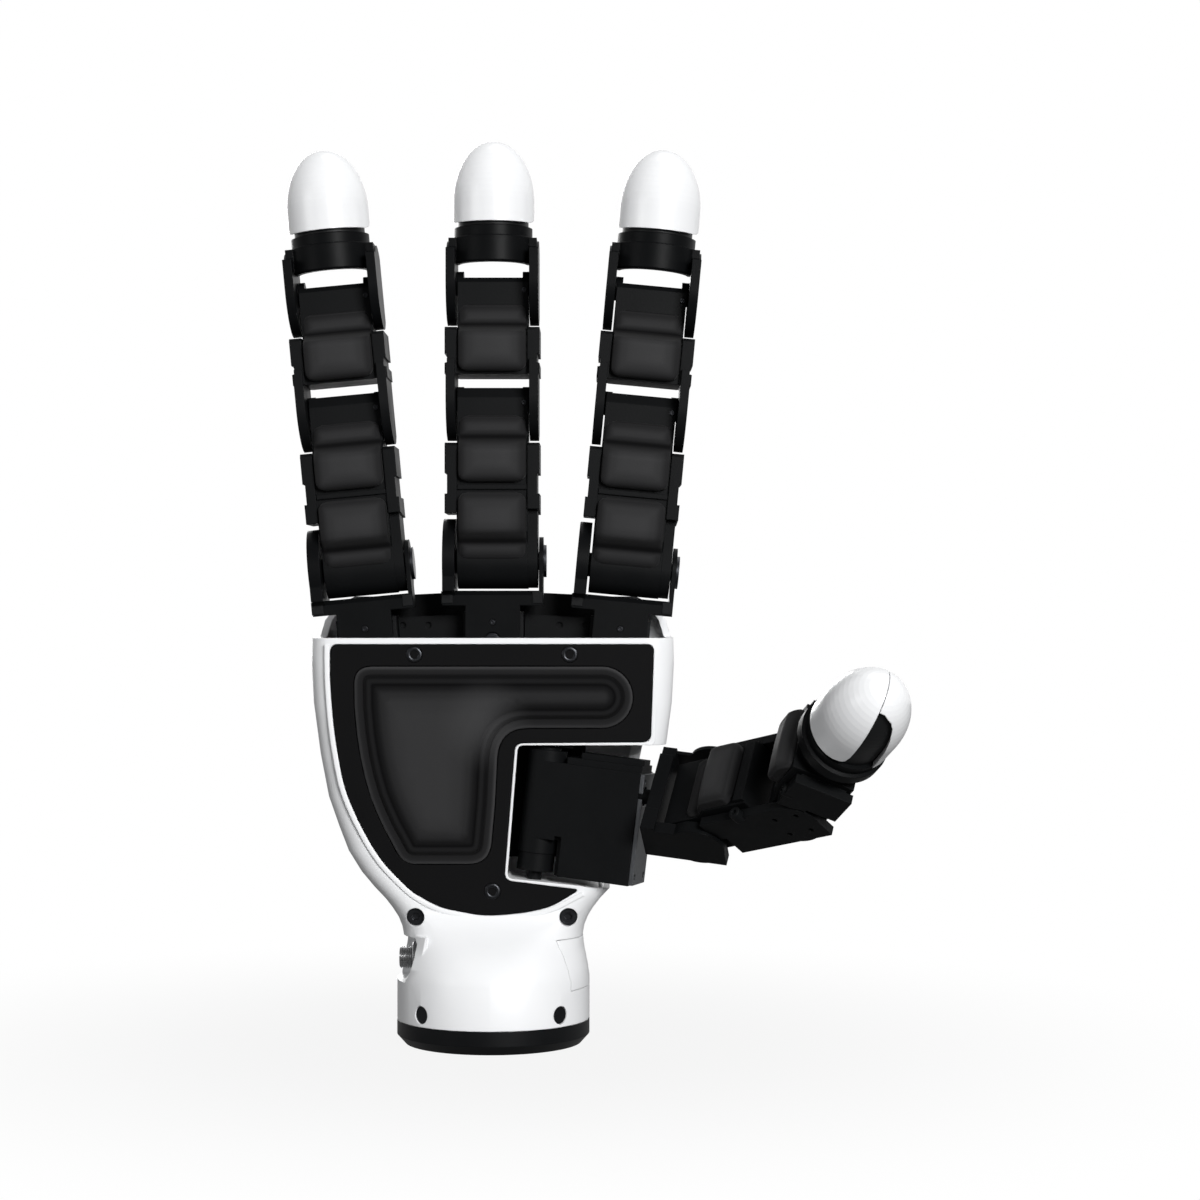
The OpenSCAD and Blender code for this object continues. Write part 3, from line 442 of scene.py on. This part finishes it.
def grip_pad(name, outline, back, place, body, node, painted_bands=()):
    """A cast grip pad: its side outline swept across, crowned over its width, with
    rounded corners in front view and a soft round-over all along its rim. Painted bands are
    the heights of its hollows, where painted shade darkens it."""
    line = spaced(rounded(outline, 1.5), 0.9)
    lengths = [0.0]
    for a, b in zip(line, line[1:]):
        lengths.append(lengths[-1] + (b - a).length)
    total = lengths[-1]
    across = [math.sin(math.pi / 2 * k / 12) for k in range(-12, 13)]
    points, rows = [], []
    for at, s in zip(line, lengths):
        end = min(s, total - s)
        width = PAD_HALF - round_drop(PAD_CORNER, end)
        drop_end = round_drop(PAD_SOFT, end)
        depth = max(0.0, back(at.y) - at.x)
        row = []
        for t in across:
            x = t * width
            drop = min(0.8 * depth, max(round_drop(PAD_SOFT, width - abs(x)), drop_end))
            swell = PAD_CROWN * (1 - t * t) * min(1.0, depth / PAD_FULL) * min(1.0, end / 4)
            row.append(len(points))
            sunk = PAD_CROWN * 0.6 * min(1.0, depth / PAD_FULL)
            points.append((x, at.x + drop - swell + sunk, at.y))
        rows.append(row)
    under = []
    for row, at in zip(rows, line):
        lower = []
        for k in row:
            lower.append(len(points))
            points.append((points[k][0], max(back(at.y), points[k][1] + 0.05), at.y))
        under.append(lower)
    faces = []
    last = len(across) - 1
    for r in range(len(rows) - 1):
        for k in range(last):
            a, b = rows[r], rows[r + 1]
            faces.append((a[k], a[k + 1], b[k + 1], b[k]))
            a, b = under[r], under[r + 1]
            faces.append((a[k], b[k], b[k + 1], a[k + 1]))
        for k in (0, last):
            faces.append((rows[r][k], rows[r + 1][k], under[r + 1][k], under[r][k]))
    for r in (0, len(rows) - 1):
        for k in range(last):
            faces.append((rows[r][k], rows[r][k + 1], under[r][k + 1], under[r][k]))
    made = piece(name, points, faces, place, grip_silicone, body)
    painted_shading = made.data.attributes.new("painted_shading", "FLOAT", "POINT")
    back_to = place.inverted()
    for k, v in enumerate(made.data.vertices):
        at = back_to @ (v.co / MM)
        # painted shade: darker towards the pad's rim and across its painted bands
        rim = min(PAD_HALF - abs(at.x), at.z - line[0].y, line[-1].y - at.z)
        painted_shade = between(GRIP_PAINTED_SHADE, max(0.0, rim))
        painted_band = max((1.15 - abs(at.z - z) / PAINTED_BAND_HALF for z in painted_bands), default=0.0)
        painted_shading.data[k].value = min(1.0, max(painted_shade, painted_band))
    if node:
        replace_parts(made, node)
    return made


def steps_back(table):
    """Depth of a pad's back face at a height, from pairs of height and depth."""

    def depth(z):
        for (z0, y0), (z1, y1) in zip(table, table[1:]):
            if z <= z1:
                u = (z - z0) / (z1 - z0) if z1 > z0 else 1.0
                return y0 + (y1 - y0) * min(1.0, max(0.0, u))
        return table[-1][1]

    return depth


# side outlines of the pads and of what is behind them: depth and height of the front,
# height and depth of the back, in the frame of the link
LOWER_PAD = [(-9.7, 0.6), (-9.85, 1.5), (-10.3, 4.6), (-10.1, 5.8), (-11.4, 7.4),
             (-15.0, 9.7), (-15.5, 12), (-15.5, 20.6), (-15.3, 22.4)]
LOWER_BACK = [(0.4, -9.35), (6, -9.35), (9.6, -11.55), (22.4, -11.55)]
UPPER_PAD = [(-15.3, 25.9), (-15.5, 27.4), (-15.4, 36.2), (-14.3, 37.8), (-9.4, 40.5),
             (-8.0, 41.9), (-8.3, 43.4), (-8.4, 46.8), (-8.2, 48.0)]
UPPER_BACK = [(25.9, -11.55), (37.35, -11.55), (41.4, -6.95), (48.0, -6.95)]
MEDIAL_PAD = [(-15.3, 8.2), (-15.5, 9.6), (-15.4, 19.8), (-14.2, 21.2), (-7.6, 23.4),
              (-5.75, 24.4), (-5.7, 26.6), (-5.72, 30), (-5.68, 31)]
MEDIAL_BACK = [(8.2, -11.55), (20, -11.55), (23.8, -5.35), (31, -5.35)]
THUMB_PAD = [(-10.0, 0.8), (-10.3, 1.6), (-10.3, 4.8), (-11.4, 7.2), (-15.0, 9.7),
             (-15.5, 12), (-15.5, 20), (-15.3, 21.6)]
THUMB_BACK = [(0.8, -9.1), (6, -9.1), (9.6, -11.55), (21.6, -11.55)]
THUMB_END_PAD = [(-15.3, 11.2), (-15.5, 12.4), (-15.5, 19.6), (-14.9, 21), (-12.2, 24.8)]
THUMB_END_BACK = [(11, -11.55), (25, -11.55)]

for finger, side in FINGERS.items():
    at = finger_at(side, KNUCKLE)
    grip_pad(finger + "_lower_grip", LOWER_PAD, steps_back(LOWER_BACK), at,
             finger + "_proximal", finger + "_proximal_pads", (6.6,))
    grip_pad(finger + "_upper_grip", UPPER_PAD, steps_back(UPPER_BACK), at,
             finger + "_proximal", None, (40.8,))
    grip_pad(finger + "_medial_grip", MEDIAL_PAD, steps_back(MEDIAL_BACK),
             finger_at(side, MIDDLE), finger + "_medial", finger + "_medial_pad", (23.9,))
grip_pad("thumb_lower_grip", THUMB_PAD, steps_back(THUMB_BACK), THUMB_MID,
         "thumb_proximal", "thumb_proximal_pad", (6.4,))
grip_pad("thumb_upper_grip", THUMB_END_PAD, steps_back(THUMB_END_BACK), THUMB_END,
         "thumb_distal", "thumb_distal_pad")


# ---------------------------------------------------------------- casings


def smooth_casing(node, body):
    """The casing's own shape with its points joined, so light runs smoothly over it."""
    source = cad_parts[node].data
    shape = bmesh.new()
    shape.from_mesh(source)
    bmesh.ops.remove_doubles(shape, verts=shape.verts, dist=0.003 * MM)
    shape.verts.ensure_lookup_table()
    points = [v.co.copy() for v in shape.verts]
    faces = [tuple(v.index for v in f.verts) for f in shape.faces]
    shape.free()
    mesh = bpy.data.meshes.new(node + "_skin")
    mesh.from_pydata(points, [], faces)
    mesh.materials.append(casing_abs)
    for face in mesh.polygons:
        face.use_smooth = True
    mesh.set_sharp_from_angle(angle=math.radians(32))
    made = bpy.data.objects.new(node + "_skin", mesh)
    bpy.context.scene.collection.objects.link(made)
    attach(made, body)
    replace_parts(made, node)


for node_name in ("palm_shell", "rear_cover", "service_hatch"):
    smooth_casing(node_name, "palm")


def bead(name, line, half_wide, proud, y, finish, body):
    """A low rounded bead along an open line in the hand's X-Z plane, proud of y."""
    n = len(line)
    section = [(-1.0, -0.6), (-1.0, 0.55), (-0.8, 0.9), (-0.45, 1.0), (0.45, 1.0),
               (0.8, 0.9), (1.0, 0.55), (1.0, -0.6)]
    points, faces = [], []
    for k, p in enumerate(line):
        way = (line[min(k + 1, n - 1)] - line[max(k - 1, 0)]).normalized()
        side = Vector((way.y, -way.x))
        for across, up in section:
            at = p + side * across * half_wide
            points.append((at.x, y - proud * up, at.y))
    m = len(section)
    for k in range(n - 1):
        for j in range(m):
            a, b = k * m + j, k * m + (j + 1) % m
            faces.append((a, b, b + m, a + m))
    faces.append(tuple(range(m)))
    faces.append(tuple(range((n - 1) * m, n * m)))
    return piece(name, points, faces, move(0, 0, 0), finish, body)


# raised lip of the casing along the palm plate's rim, from its top corner down the side
# and round the foot
PLATE_SIDE = [(-53.0, 132.2), (-52.9, 120), (-51.5, 102.8), (-48.2, 84.8), (-42.9, 72.7),
              (-36.2, 61.2), (-25.5, 50.5), (-17, 46), (-4, 43.4), (2.7, 43.4),
              (12, 44.4), (19.6, 46.2), (29.4, 51.4)]
plate_side = spaced(rounded(PLATE_SIDE, 8, 6), 1.5)
lip_line = []
for k, p in enumerate(plate_side):
    way = plate_side[min(k + 1, len(plate_side) - 1)] - plate_side[max(k - 1, 0)]
    lip_line.append(p + Vector((way.y, -way.x)).normalized() * 1.15)
bead("plate_lip", lip_line, 0.85, 0.5, -13.9, casing_abs, "palm")


# ---------------------------------------------------------------- palm pad


def ring_offset(ring, d):
    """A closed outline, run against the clock, moved inwards by d along its corners'
    bisectors."""
    out = []
    n = len(ring)
    for k in range(n):
        a, b, c = ring[k - 1], ring[k], ring[(k + 1) % n]
        u, v = (b - a).normalized(), (c - b).normalized()
        left, right = Vector((-u.y, u.x)), Vector((-v.y, v.x))
        both = left + right
        both = both / max(both.length_squared / 2, 0.6)
        out.append(b + both * d)
    return out


def depth_in(ring, p):
    """How deep a point lies inside a closed outline; negative outside it."""
    nearest, inside = 1e9, False
    for a, b in zip(ring, ring[1:] + ring[:1]):
        ab, ap = b - a, p - a
        u = min(1.0, max(0.0, ap.dot(ab) / ab.length_squared))
        nearest = min(nearest, (ap - ab * u).length)
        if (a.y > p.y) != (b.y > p.y) and p.x < a.x + ab.x * (p.y - a.y) / ab.y:
            inside = not inside
    return nearest if inside else -nearest


PAD_CORNERS = [
    ((-45, 111.7), 0), ((-44.2, 102.8), 0), ((-43, 95), 0), ((-41.6, 88.7), 0),
    ((-39.7, 82), 0), ((-37.5, 76.6), 0), ((-35.2, 71.6), 0), ((-33.2, 68), 0),
    ((-29, 60.2), 5), ((-0.8, 60.2), 7), ((1, 80), 0), ((2.2, 104.8), 10),
    *[((36.2 + 10.05 * math.sin(math.radians(a)),
        114.85 - 10.05 * math.cos(math.radians(a))), 0) for a in range(0, 181, 10)],
    ((-45.2, 124.9), 10),
]
# the pad's height over the plate, by the distance to its rim: a flat rim, a small step,
# a narrow shoulder and a field that swells slowly
PAD_RISE = [(0.0, 0.1), (0.45, 0.6), (2.5, 0.62), (2.9, 0.2), (3.6, 1.1), (4.3, 1.75),
            (5.3, 1.8), (5.9, 1.5), (7.2, 2.3), (9.0, 3.0), (12.0, 3.34), (20.0, 3.38)]
# and how much painted shade darkens its colour: most in the steps, with a thin pale line left
# just inside the rim
PAD_PAINTED_SHADE = [(0.0, 0.4), (0.3, 0.0), (0.7, 0.7), (2.6, 0.8), (3.2, 1.0), (3.8, 0.95),
            (4.6, 0.8), (5.2, 0.85), (5.9, 1.0), (7.0, 0.9), (9.0, 0.66), (12.0, 0.48),
            (15.0, 0.4)]
# a painted highlight where the pad bends around the thumb's bay, which lifts the painted shade
# there: x, z and how far it fades
PAD_PAINTED_HIGHLIGHT = (-2.0, 106.0, 17.0)


def palm_pad():
    """The pad on the palm, as one skin over its outline, closed behind."""
    loop = []
    n = len(PAD_CORNERS)
    for k, (at, reach) in enumerate(PAD_CORNERS):
        a, b, c = (Vector(PAD_CORNERS[m % n][0]) for m in (k - 1, k, k + 1))
        loop.extend(rounded([a, b, c], reach, 8)[1:-1] if reach else [b])
    ring = spaced(loop + loop[:1], 1.6)[:-1]
    flat = list(ring)
    for d in (0.15, 0.3, 0.5, 1.2, 2.0, 2.5, 2.7, 2.9, 3.1, 3.3, 3.5, 3.8, 4.3, 4.9, 5.4,
              5.7, 6.0, 6.4, 6.9, 7.4, 8.1, 8.8, 9.6, 10.5, 11.6, 13.0):
        for k, p in enumerate(ring_offset(ring, d)):
            if depth_in(ring, p) > d - 0.03 and (d < 8 or k % 2):
                flat.append(p)
    for x in range(-42, 46, 3):
        for z in range(61, 125, 3):
            p = Vector((x, z))
            if depth_in(ring, p) > 14.2:
                flat.append(p)
    count = len(ring)
    border = [(k, (k + 1) % count) for k in range(count)]
    skin = delaunay_2d_cdt(flat, border, [], 1, 1e-4)
    points = [(p.x, PLATE_FRONT - between(PAD_RISE, max(0.0, depth_in(ring, p))), p.y)
              for p in skin[0]]
    faces = [tuple(f) for f in skin[2]]
    where = {}
    for new, olds in enumerate(skin[3]):
        for old in olds:
            where[old] = new
    low = len(points)
    points.extend((p.x, -13.2, p.y) for p in ring)
    for k in range(count):
        m = (k + 1) % count
        faces.append((where[k], where[m], low + m, low + k))
    faces.append(tuple(range(low, low + count)))
    made = piece("palm_grip_pad", points, faces, move(0, 0, 0), palm_silicone, "palm")
    painted_shading = made.data.attributes.new("painted_shading", "FLOAT", "POINT")
    # painted shade by the distance to the rim, less where the painted highlight at the bend
    # lifts it
    for k, v in enumerate(made.data.vertices):
        at = Vector((v.co.x / MM, v.co.z / MM))
        near = max(0.0, 1 - (at - Vector(PAD_PAINTED_HIGHLIGHT[:2])).length / PAD_PAINTED_HIGHLIGHT[2])
        painted_highlight = 0.75 * near * near * (3 - 2 * near)
        painted_shading.data[k].value = between(PAD_PAINTED_SHADE, max(0.0, depth_in(ring, at))) * (1 - painted_highlight)
    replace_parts(made, "palm_pad")


palm_pad()


# ---------------------------------------------------------------- turned pieces


def turned(name, profile, place, finish, body, count):
    """A lathe part: a closed profile of radius and height spun about the frame's z."""
    points, faces = [], []
    n = len(profile)
    for k in range(count):
        a = 2 * math.pi * k / count
        points.extend((r * math.cos(a), r * math.sin(a), z) for r, z in profile)
    for k in range(count):
        for m in range(n):
            a, b = k * n + m, k * n + (m + 1) % n
            c, d = ((k + 1) % count) * n + (m + 1) % n, ((k + 1) % count) * n + m
            if profile[m][0] > 0 or profile[(m + 1) % n][0] > 0:
                faces.append((a, b, c, d))
    return piece(name, points, faces, place, finish, body)


# threaded barrel of the data socket, its washer and its middle pin, on the -X side
socket_at = move(0, 0, 27.8) @ turn(-90, "Y")
thread = [(3.2, 24.0)]
for k in range(9):
    foot = 24.2 + 0.75 * k
    thread += [(3.2, foot), (3.68, foot + 0.3), (3.68, foot + 0.42), (3.2, foot + 0.7)]
turned("socket_barrel", [(0.01, 20.6), (3.6, 20.6), (3.6, 23.9)] + thread
       + [(3.5, 31.0), (2.9, 31.2), (2.6, 30.9), (2.6, 26.2), (0.01, 26.2)],
       socket_at, socket_nickel, "palm", 40)
turned("socket_washer", [(3.3, 25.3), (5.0, 25.3), (5.2, 25.5), (5.2, 26.6), (5.0, 26.8),
                         (3.3, 26.8)], socket_at, socket_nickel, "palm", 40)
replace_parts(turned("socket_pin", [(0.01, 26.0), (1.1, 26.0), (1.1, 29.2), (0.8, 29.5),
                                  (0.01, 29.5)], socket_at, core_nylon, "palm",
                   24), "data_connector")

# screws of the palm plate: rings around deep sockets
RING_SCREW = [(1.25, -0.4), (1.3, 0.9), (1.5, 1.05), (2.3, 1.05), (2.55, 0.9), (2.6, 0.0),
              (2.6, -0.4)]
for k, (x, z) in enumerate([(-25.5, 128.9), (25.5, 128.9), (0.2, 51.2)]):
    spot = move(x, -13.3, z) @ turn(90, "X")
    turned(f"plate_screw_{k}", RING_SCREW, spot, screw_steel, "palm", 36)
    turned(f"plate_screw_floor_{k}", [(0.01, 0.2), (1.35, 0.2), (1.35, 0.84), (0.01, 0.82)],
           spot, plate_pc, "palm", 24)


def block(name, low, high, bevel, place, finish, body):
    """A box from low to high whose front face, towards -y, has bevelled edges."""
    points = []
    for y, inset in ((high[1], 0.0), (low[1] + bevel, 0.0), (low[1], bevel)):
        x0, x1 = low[0] + inset, high[0] - inset
        z0, z1 = low[2] + inset, high[2] - inset
        points += [(x0, y, z0), (x1, y, z0), (x1, y, z1), (x0, y, z1)]
    faces = [(0, 1, 2, 3), (11, 10, 9, 8)]
    for r in (0, 4):
        for k in range(4):
            m = (k + 1) % 4
            faces.append((r + k, r + m, r + 4 + m, r + 4 + k))
    made = piece(name, points, faces, place, finish, body)
    for face in made.data.polygons:
        face.use_smooth = False
    return made


# feet of the fork's arms, a step in front of each cross bar
for finger, side in FINGERS.items():
    base = finger_at(side)
    block(finger + "_foot_left", (-17.0, -8.25, 11.9), (-13.0, -7.2, 16.1), 0.3, base,
          motor_paint, finger + "_knuckle")
    block(finger + "_foot_right", (13.0, -8.25, 11.9), (16.7, -7.2, 16.1), 0.3, base,
          motor_paint, finger + "_knuckle")

# small bosses with screw bores on the thumb's links
BOSS = [(0.01, -3.0), (2.0, -3.0), (2.0, 0.7), (1.75, 0.95), (0.95, 0.95), (0.85, 0.8),
        (0.85, 0.1), (0.01, 0.1)]
turned("thumb_link_boss", BOSS, THUMB_MID @ move(14.6, -10.6, 23.2) @ turn(90, "X"),
       link_nylon, "thumb_proximal", 28)
turned("thumb_end_boss", BOSS, THUMB_END @ move(13.4, -9.2, 14.6) @ turn(90, "X"),
       link_nylon, "thumb_distal", 28)


# ---------------------------------------------------------------- screws

def screw_tree():
    """Screw heads on points: each head stands along the point's aim, with a six sided
    socket, a rounded rim and the head's radius and height as named inputs."""
    tree = bpy.data.node_groups.new("screw_heads", "GeometryNodeTree")
    face = tree.interface
    face.new_socket("Spots", in_out="INPUT", socket_type="NodeSocketGeometry")
    for name in ("Head radius", "Head height", "Socket radius"):
        face.new_socket(name, in_out="INPUT", socket_type="NodeSocketFloat")
    face.new_socket("Finish", in_out="INPUT", socket_type="NodeSocketMaterial")
    face.new_socket("Heads", in_out="OUTPUT", socket_type="NodeSocketGeometry")
    given = add(tree, "NodeGroupInput")
    radius, height = given.outputs["Head radius"], given.outputs["Head height"]
    body = add(tree, "GeometryNodeMeshCylinder", {"fill_type": "NGON"},
               {"Vertices": 28, "Radius": radius, "Depth": height})
    rim = add(tree, "ShaderNodeMath", {"operation": "MULTIPLY"}, {0: radius, 1: 0.86})
    collar_depth = add(tree, "ShaderNodeMath", {"operation": "MULTIPLY"}, {0: height, 1: 1.22})
    crown = add(tree, "GeometryNodeMeshCylinder", {"fill_type": "NGON"},
                {"Vertices": 28, "Radius": rim.outputs[0], "Depth": collar_depth.outputs[0]})
    both = add(tree, "GeometryNodeMeshBoolean", {"operation": "UNION"})
    tree.links.new(body.outputs["Mesh"], both.inputs["Mesh 2"])
    tree.links.new(crown.outputs["Mesh"], both.inputs["Mesh 2"])
    key = add(tree, "GeometryNodeMeshCylinder", {"fill_type": "NGON"},
              {"Vertices": 6, "Radius": given.outputs["Socket radius"], "Depth": height})
    lift = add(tree, "ShaderNodeMath", {"operation": "MULTIPLY"}, {0: height, 1: 0.55})
    up = add(tree, "ShaderNodeCombineXYZ", None, {"Z": lift.outputs[0]})
    raised = add(tree, "GeometryNodeTransform", None,
                 {"Geometry": key.outputs["Mesh"], "Translation": up.outputs["Vector"]})
    cut = add(tree, "GeometryNodeMeshBoolean", {"operation": "DIFFERENCE"},
              {"Mesh 1": both.outputs["Mesh"], "Mesh 2": raised.outputs["Geometry"]})
    aim = add(tree, "GeometryNodeInputNamedAttribute", {"data_type": "FLOAT_VECTOR"},
              {"Name": "aim"})
    stand = add(tree, "FunctionNodeAlignRotationToVector", {"axis": "Z"},
                {"Vector": aim.outputs["Attribute"]})
    placed = add(tree, "GeometryNodeInstanceOnPoints", None,
                 {"Points": given.outputs["Spots"], "Instance": cut.outputs["Mesh"],
                  "Rotation": stand.outputs["Rotation"]})
    real = add(tree, "GeometryNodeRealizeInstances", None,
               {"Geometry": placed.outputs["Instances"]})
    done = add(tree, "GeometryNodeSetMaterial", None,
               {"Geometry": real.outputs["Geometry"], "Material": given.outputs["Finish"]})
    add(tree, "NodeGroupOutput", None, {"Heads": done.outputs["Geometry"]})
    return tree


HEADS = screw_tree()


def screws(name, spots, radius, height, socket, body):
    """Screw heads of one size on one body. A spot is a place, a point in the link's
    frame where the head's middle sits, and the direction that the head looks in."""
    seeds = bpy.data.meshes.new(name + "_spots")
    seeds.from_pydata([MM * (place @ Vector(at)) for place, at, _ in spots], [], [])
    aims = seeds.attributes.new("aim", "FLOAT_VECTOR", "POINT")
    for k, (place, _, way) in enumerate(spots):
        aims.data[k].vector = (place.to_3x3() @ Vector(way)).normalized()
    holder = bpy.data.objects.new(name + "_holder", seeds)
    bpy.context.scene.collection.objects.link(holder)
    rule = holder.modifiers.new("heads", "NODES")
    rule.node_group = HEADS
    values = {
        "Head radius": radius * MM,
        "Head height": height * MM,
        "Socket radius": socket * MM,
        "Finish": screw_steel,
    }
    for item in HEADS.interface.items_tree:
        if item.item_type == "SOCKET" and item.name in values:
            rule[item.identifier] = values[item.name]
    dg = bpy.context.evaluated_depsgraph_get()
    mesh = bpy.data.meshes.new_from_object(holder.evaluated_get(dg))
    bpy.data.objects.remove(holder)
    mesh.name = name
    for attribute in [a.name for a in mesh.attributes if a.name == "aim"]:
        mesh.attributes.remove(mesh.attributes[attribute])
    made = bpy.data.objects.new(name, mesh)
    bpy.context.scene.collection.objects.link(made)
    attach(made, body)
    return made


def around(radius, angles, depth):
    """Points on a circle in a link's X-Z plane, at a depth along Y."""
    return [(radius * math.cos(math.radians(a)), depth, radius * math.sin(math.radians(a)))
            for a in angles]


for finger, side in FINGERS.items():
    base = finger_at(side)
    horn = [(base, p, (0, -1, 0)) for p in around(5.85, (0, 90, 180, 270), -8.05)]
    screws(finger + "_horn_screws", horn, 0.95, 0.7, 0.5, finger + "_knuckle")
    screws(finger + "_horn_axle", [(base, (0, -8.0, 0), (0, -1, 0))], 2.3, 0.9, 1.2,
           finger + "_knuckle")
    link = finger_at(side, KNUCKLE)
    screws(finger + "_proximal_screws", [(link, (10.4, -6.9, 52.4), (0, -1, 0))], 0.9, 0.6,
           0.45, finger + "_proximal")
    link = finger_at(side, MIDDLE)
    screws(finger + "_medial_screws", [(link, (10.4, -5.3, 35.8), (0, -1, 0))], 0.9, 0.6,
           0.45, finger + "_medial")


# ---------------------------------------------------------------- floor, light, camera


FLOOR_MIRRORED = 0.15  # share of the white floor that reflections see


def studio_finish(name, tone):
    """Pale floor: it keeps the hand's shadow, and shows white to the camera, through
    clear things and, faintly, in reflections."""
    made = bpy.data.materials.new(name)
    made.use_nodes = True
    tree = made.node_tree
    tree.nodes.clear()
    path = add(tree, "ShaderNodeLightPath")
    lit = add(tree, "ShaderNodeBsdfDiffuse", None, {"Color": linear(tone)})
    white = add(tree, "ShaderNodeEmission", None, {"Color": (1, 1, 1, 1), "Strength": 1.0})
    mirrored = add(tree, "ShaderNodeMath", {"operation": "MULTIPLY"},
                   {0: path.outputs["Is Glossy Ray"], 1: FLOOR_MIRRORED})
    seen = add(tree, "ShaderNodeMath", {"operation": "MAXIMUM"},
               {0: path.outputs["Is Camera Ray"], 1: mirrored.outputs[0]})
    seen = add(tree, "ShaderNodeMath", {"operation": "MAXIMUM"},
               {0: seen.outputs[0], 1: path.outputs["Is Transmission Ray"]})
    spot = add(tree, "ShaderNodeTexCoord").outputs["Object"]
    away = add(tree, "ShaderNodeVectorMath", {"operation": "LENGTH"}, {0: spot})
    fade = add(tree, "ShaderNodeMapRange", {"interpolation_type": "SMOOTHSTEP"},
               {"Value": away.outputs["Value"], "From Min": 0.04, "From Max": 0.28,
                "To Min": 0.9, "To Max": 1.0})
    share = add(tree, "ShaderNodeMath", {"operation": "MULTIPLY"},
                {0: seen.outputs[0], 1: fade.outputs["Result"]})
    mixed = add(tree, "ShaderNodeMixShader", None, {"Fac": share.outputs[0]})
    tree.links.new(lit.outputs["BSDF"], mixed.inputs[1])
    tree.links.new(white.outputs["Emission"], mixed.inputs[2])
    out = add(tree, "ShaderNodeOutputMaterial")
    tree.links.new(mixed.outputs["Shader"], out.inputs["Surface"])
    return made


floor_mesh = bpy.data.meshes.new("studio_floor")
floor_mesh.from_pydata([(-6, -6, 0), (6, -6, 0), (6, 6, 0), (-6, 6, 0)], [], [(0, 1, 2, 3)])
floor_mesh.materials.append(studio_finish("paper_white_floor", "#5C5C5C"))
floor = bpy.data.objects.new("studio_floor", floor_mesh)
floor.location.z = -0.0005
bpy.context.scene.collection.objects.link(floor)

world = bpy.data.worlds.new("studio")
bpy.context.scene.world = world
world.use_nodes = True
sky = world.node_tree
sky.nodes.clear()
path = add(sky, "ShaderNodeLightPath")
seen = add(sky, "ShaderNodeMath", {"operation": "MAXIMUM"},
           {0: path.outputs["Is Camera Ray"], 1: path.outputs["Is Transmission Ray"]})
# reflections see the white backdrop behind the hand and a dimmer room in front of it
way = add(sky, "ShaderNodeTexCoord").outputs["Generated"]
part_of = add(sky, "ShaderNodeSeparateXYZ", None, {"Vector": way})
sweep = add(sky, "ShaderNodeMapRange", {"interpolation_type": "SMOOTHSTEP"},
            {"Value": part_of.outputs["Y"], "From Min": -0.25, "From Max": 0.45})
mirrored = add(sky, "ShaderNodeMath", {"operation": "MULTIPLY"},
               {0: path.outputs["Is Glossy Ray"], 1: sweep.outputs["Result"]})
seen = add(sky, "ShaderNodeMath", {"operation": "MAXIMUM"},
           {0: seen.outputs[0], 1: mirrored.outputs[0]})
level = add(sky, "ShaderNodeMapRange", None,
            {"Value": seen.outputs[0], "To Min": 0.2, "To Max": 1.0})
glow = add(sky, "ShaderNodeBackground", None,
           {"Color": (1, 1, 1, 1), "Strength": level.outputs["Result"]})
end = add(sky, "ShaderNodeOutputWorld")
sky.links.new(glow.outputs["Background"], end.inputs["Surface"])


def softbox(name, at, to, size, power):
    """A square soft lamp at a place, turned towards a point."""
    lamp = bpy.data.lights.new(name, "AREA")
    lamp.shape = "SQUARE"
    lamp.size = size
    lamp.energy = power
    made = bpy.data.objects.new(name, lamp)
    bpy.context.scene.collection.objects.link(made)
    made.location = at
    made.rotation_euler = (Vector(to) - Vector(at)).to_track_quat("-Z", "Y").to_euler()


# name, place and aim in metres, size, power
softbox("key_softbox", (0.78, -1.8, 0.75), (0.02, 0, 0.15), 0.7, 40.5)
softbox("left_softbox", (-1.5, -1.2, 0.6), (0.02, 0, 0.15), 0.8, 4.6)
softbox("top_softbox", (0.2, 0.3, 1.7), (0, 0, 0.15), 0.8, 4.0)
softbox("back_softbox", (-0.5, 1.7, 0.5), (0, 0, 0.15), 0.9, 12.0)

CAMERA_AT = (0.0355, -0.8889, 0.1468)
view = bpy.data.cameras.new("front_camera")
view.lens = 80
view.sensor_width = 36
camera = bpy.data.objects.new("front_camera", view)
bpy.context.scene.collection.objects.link(camera)
camera.location = CAMERA_AT
camera.rotation_euler = (math.radians(90), 0, 0)
bpy.context.scene.camera = camera
bpy.context.scene.view_settings.view_transform = "Standard"
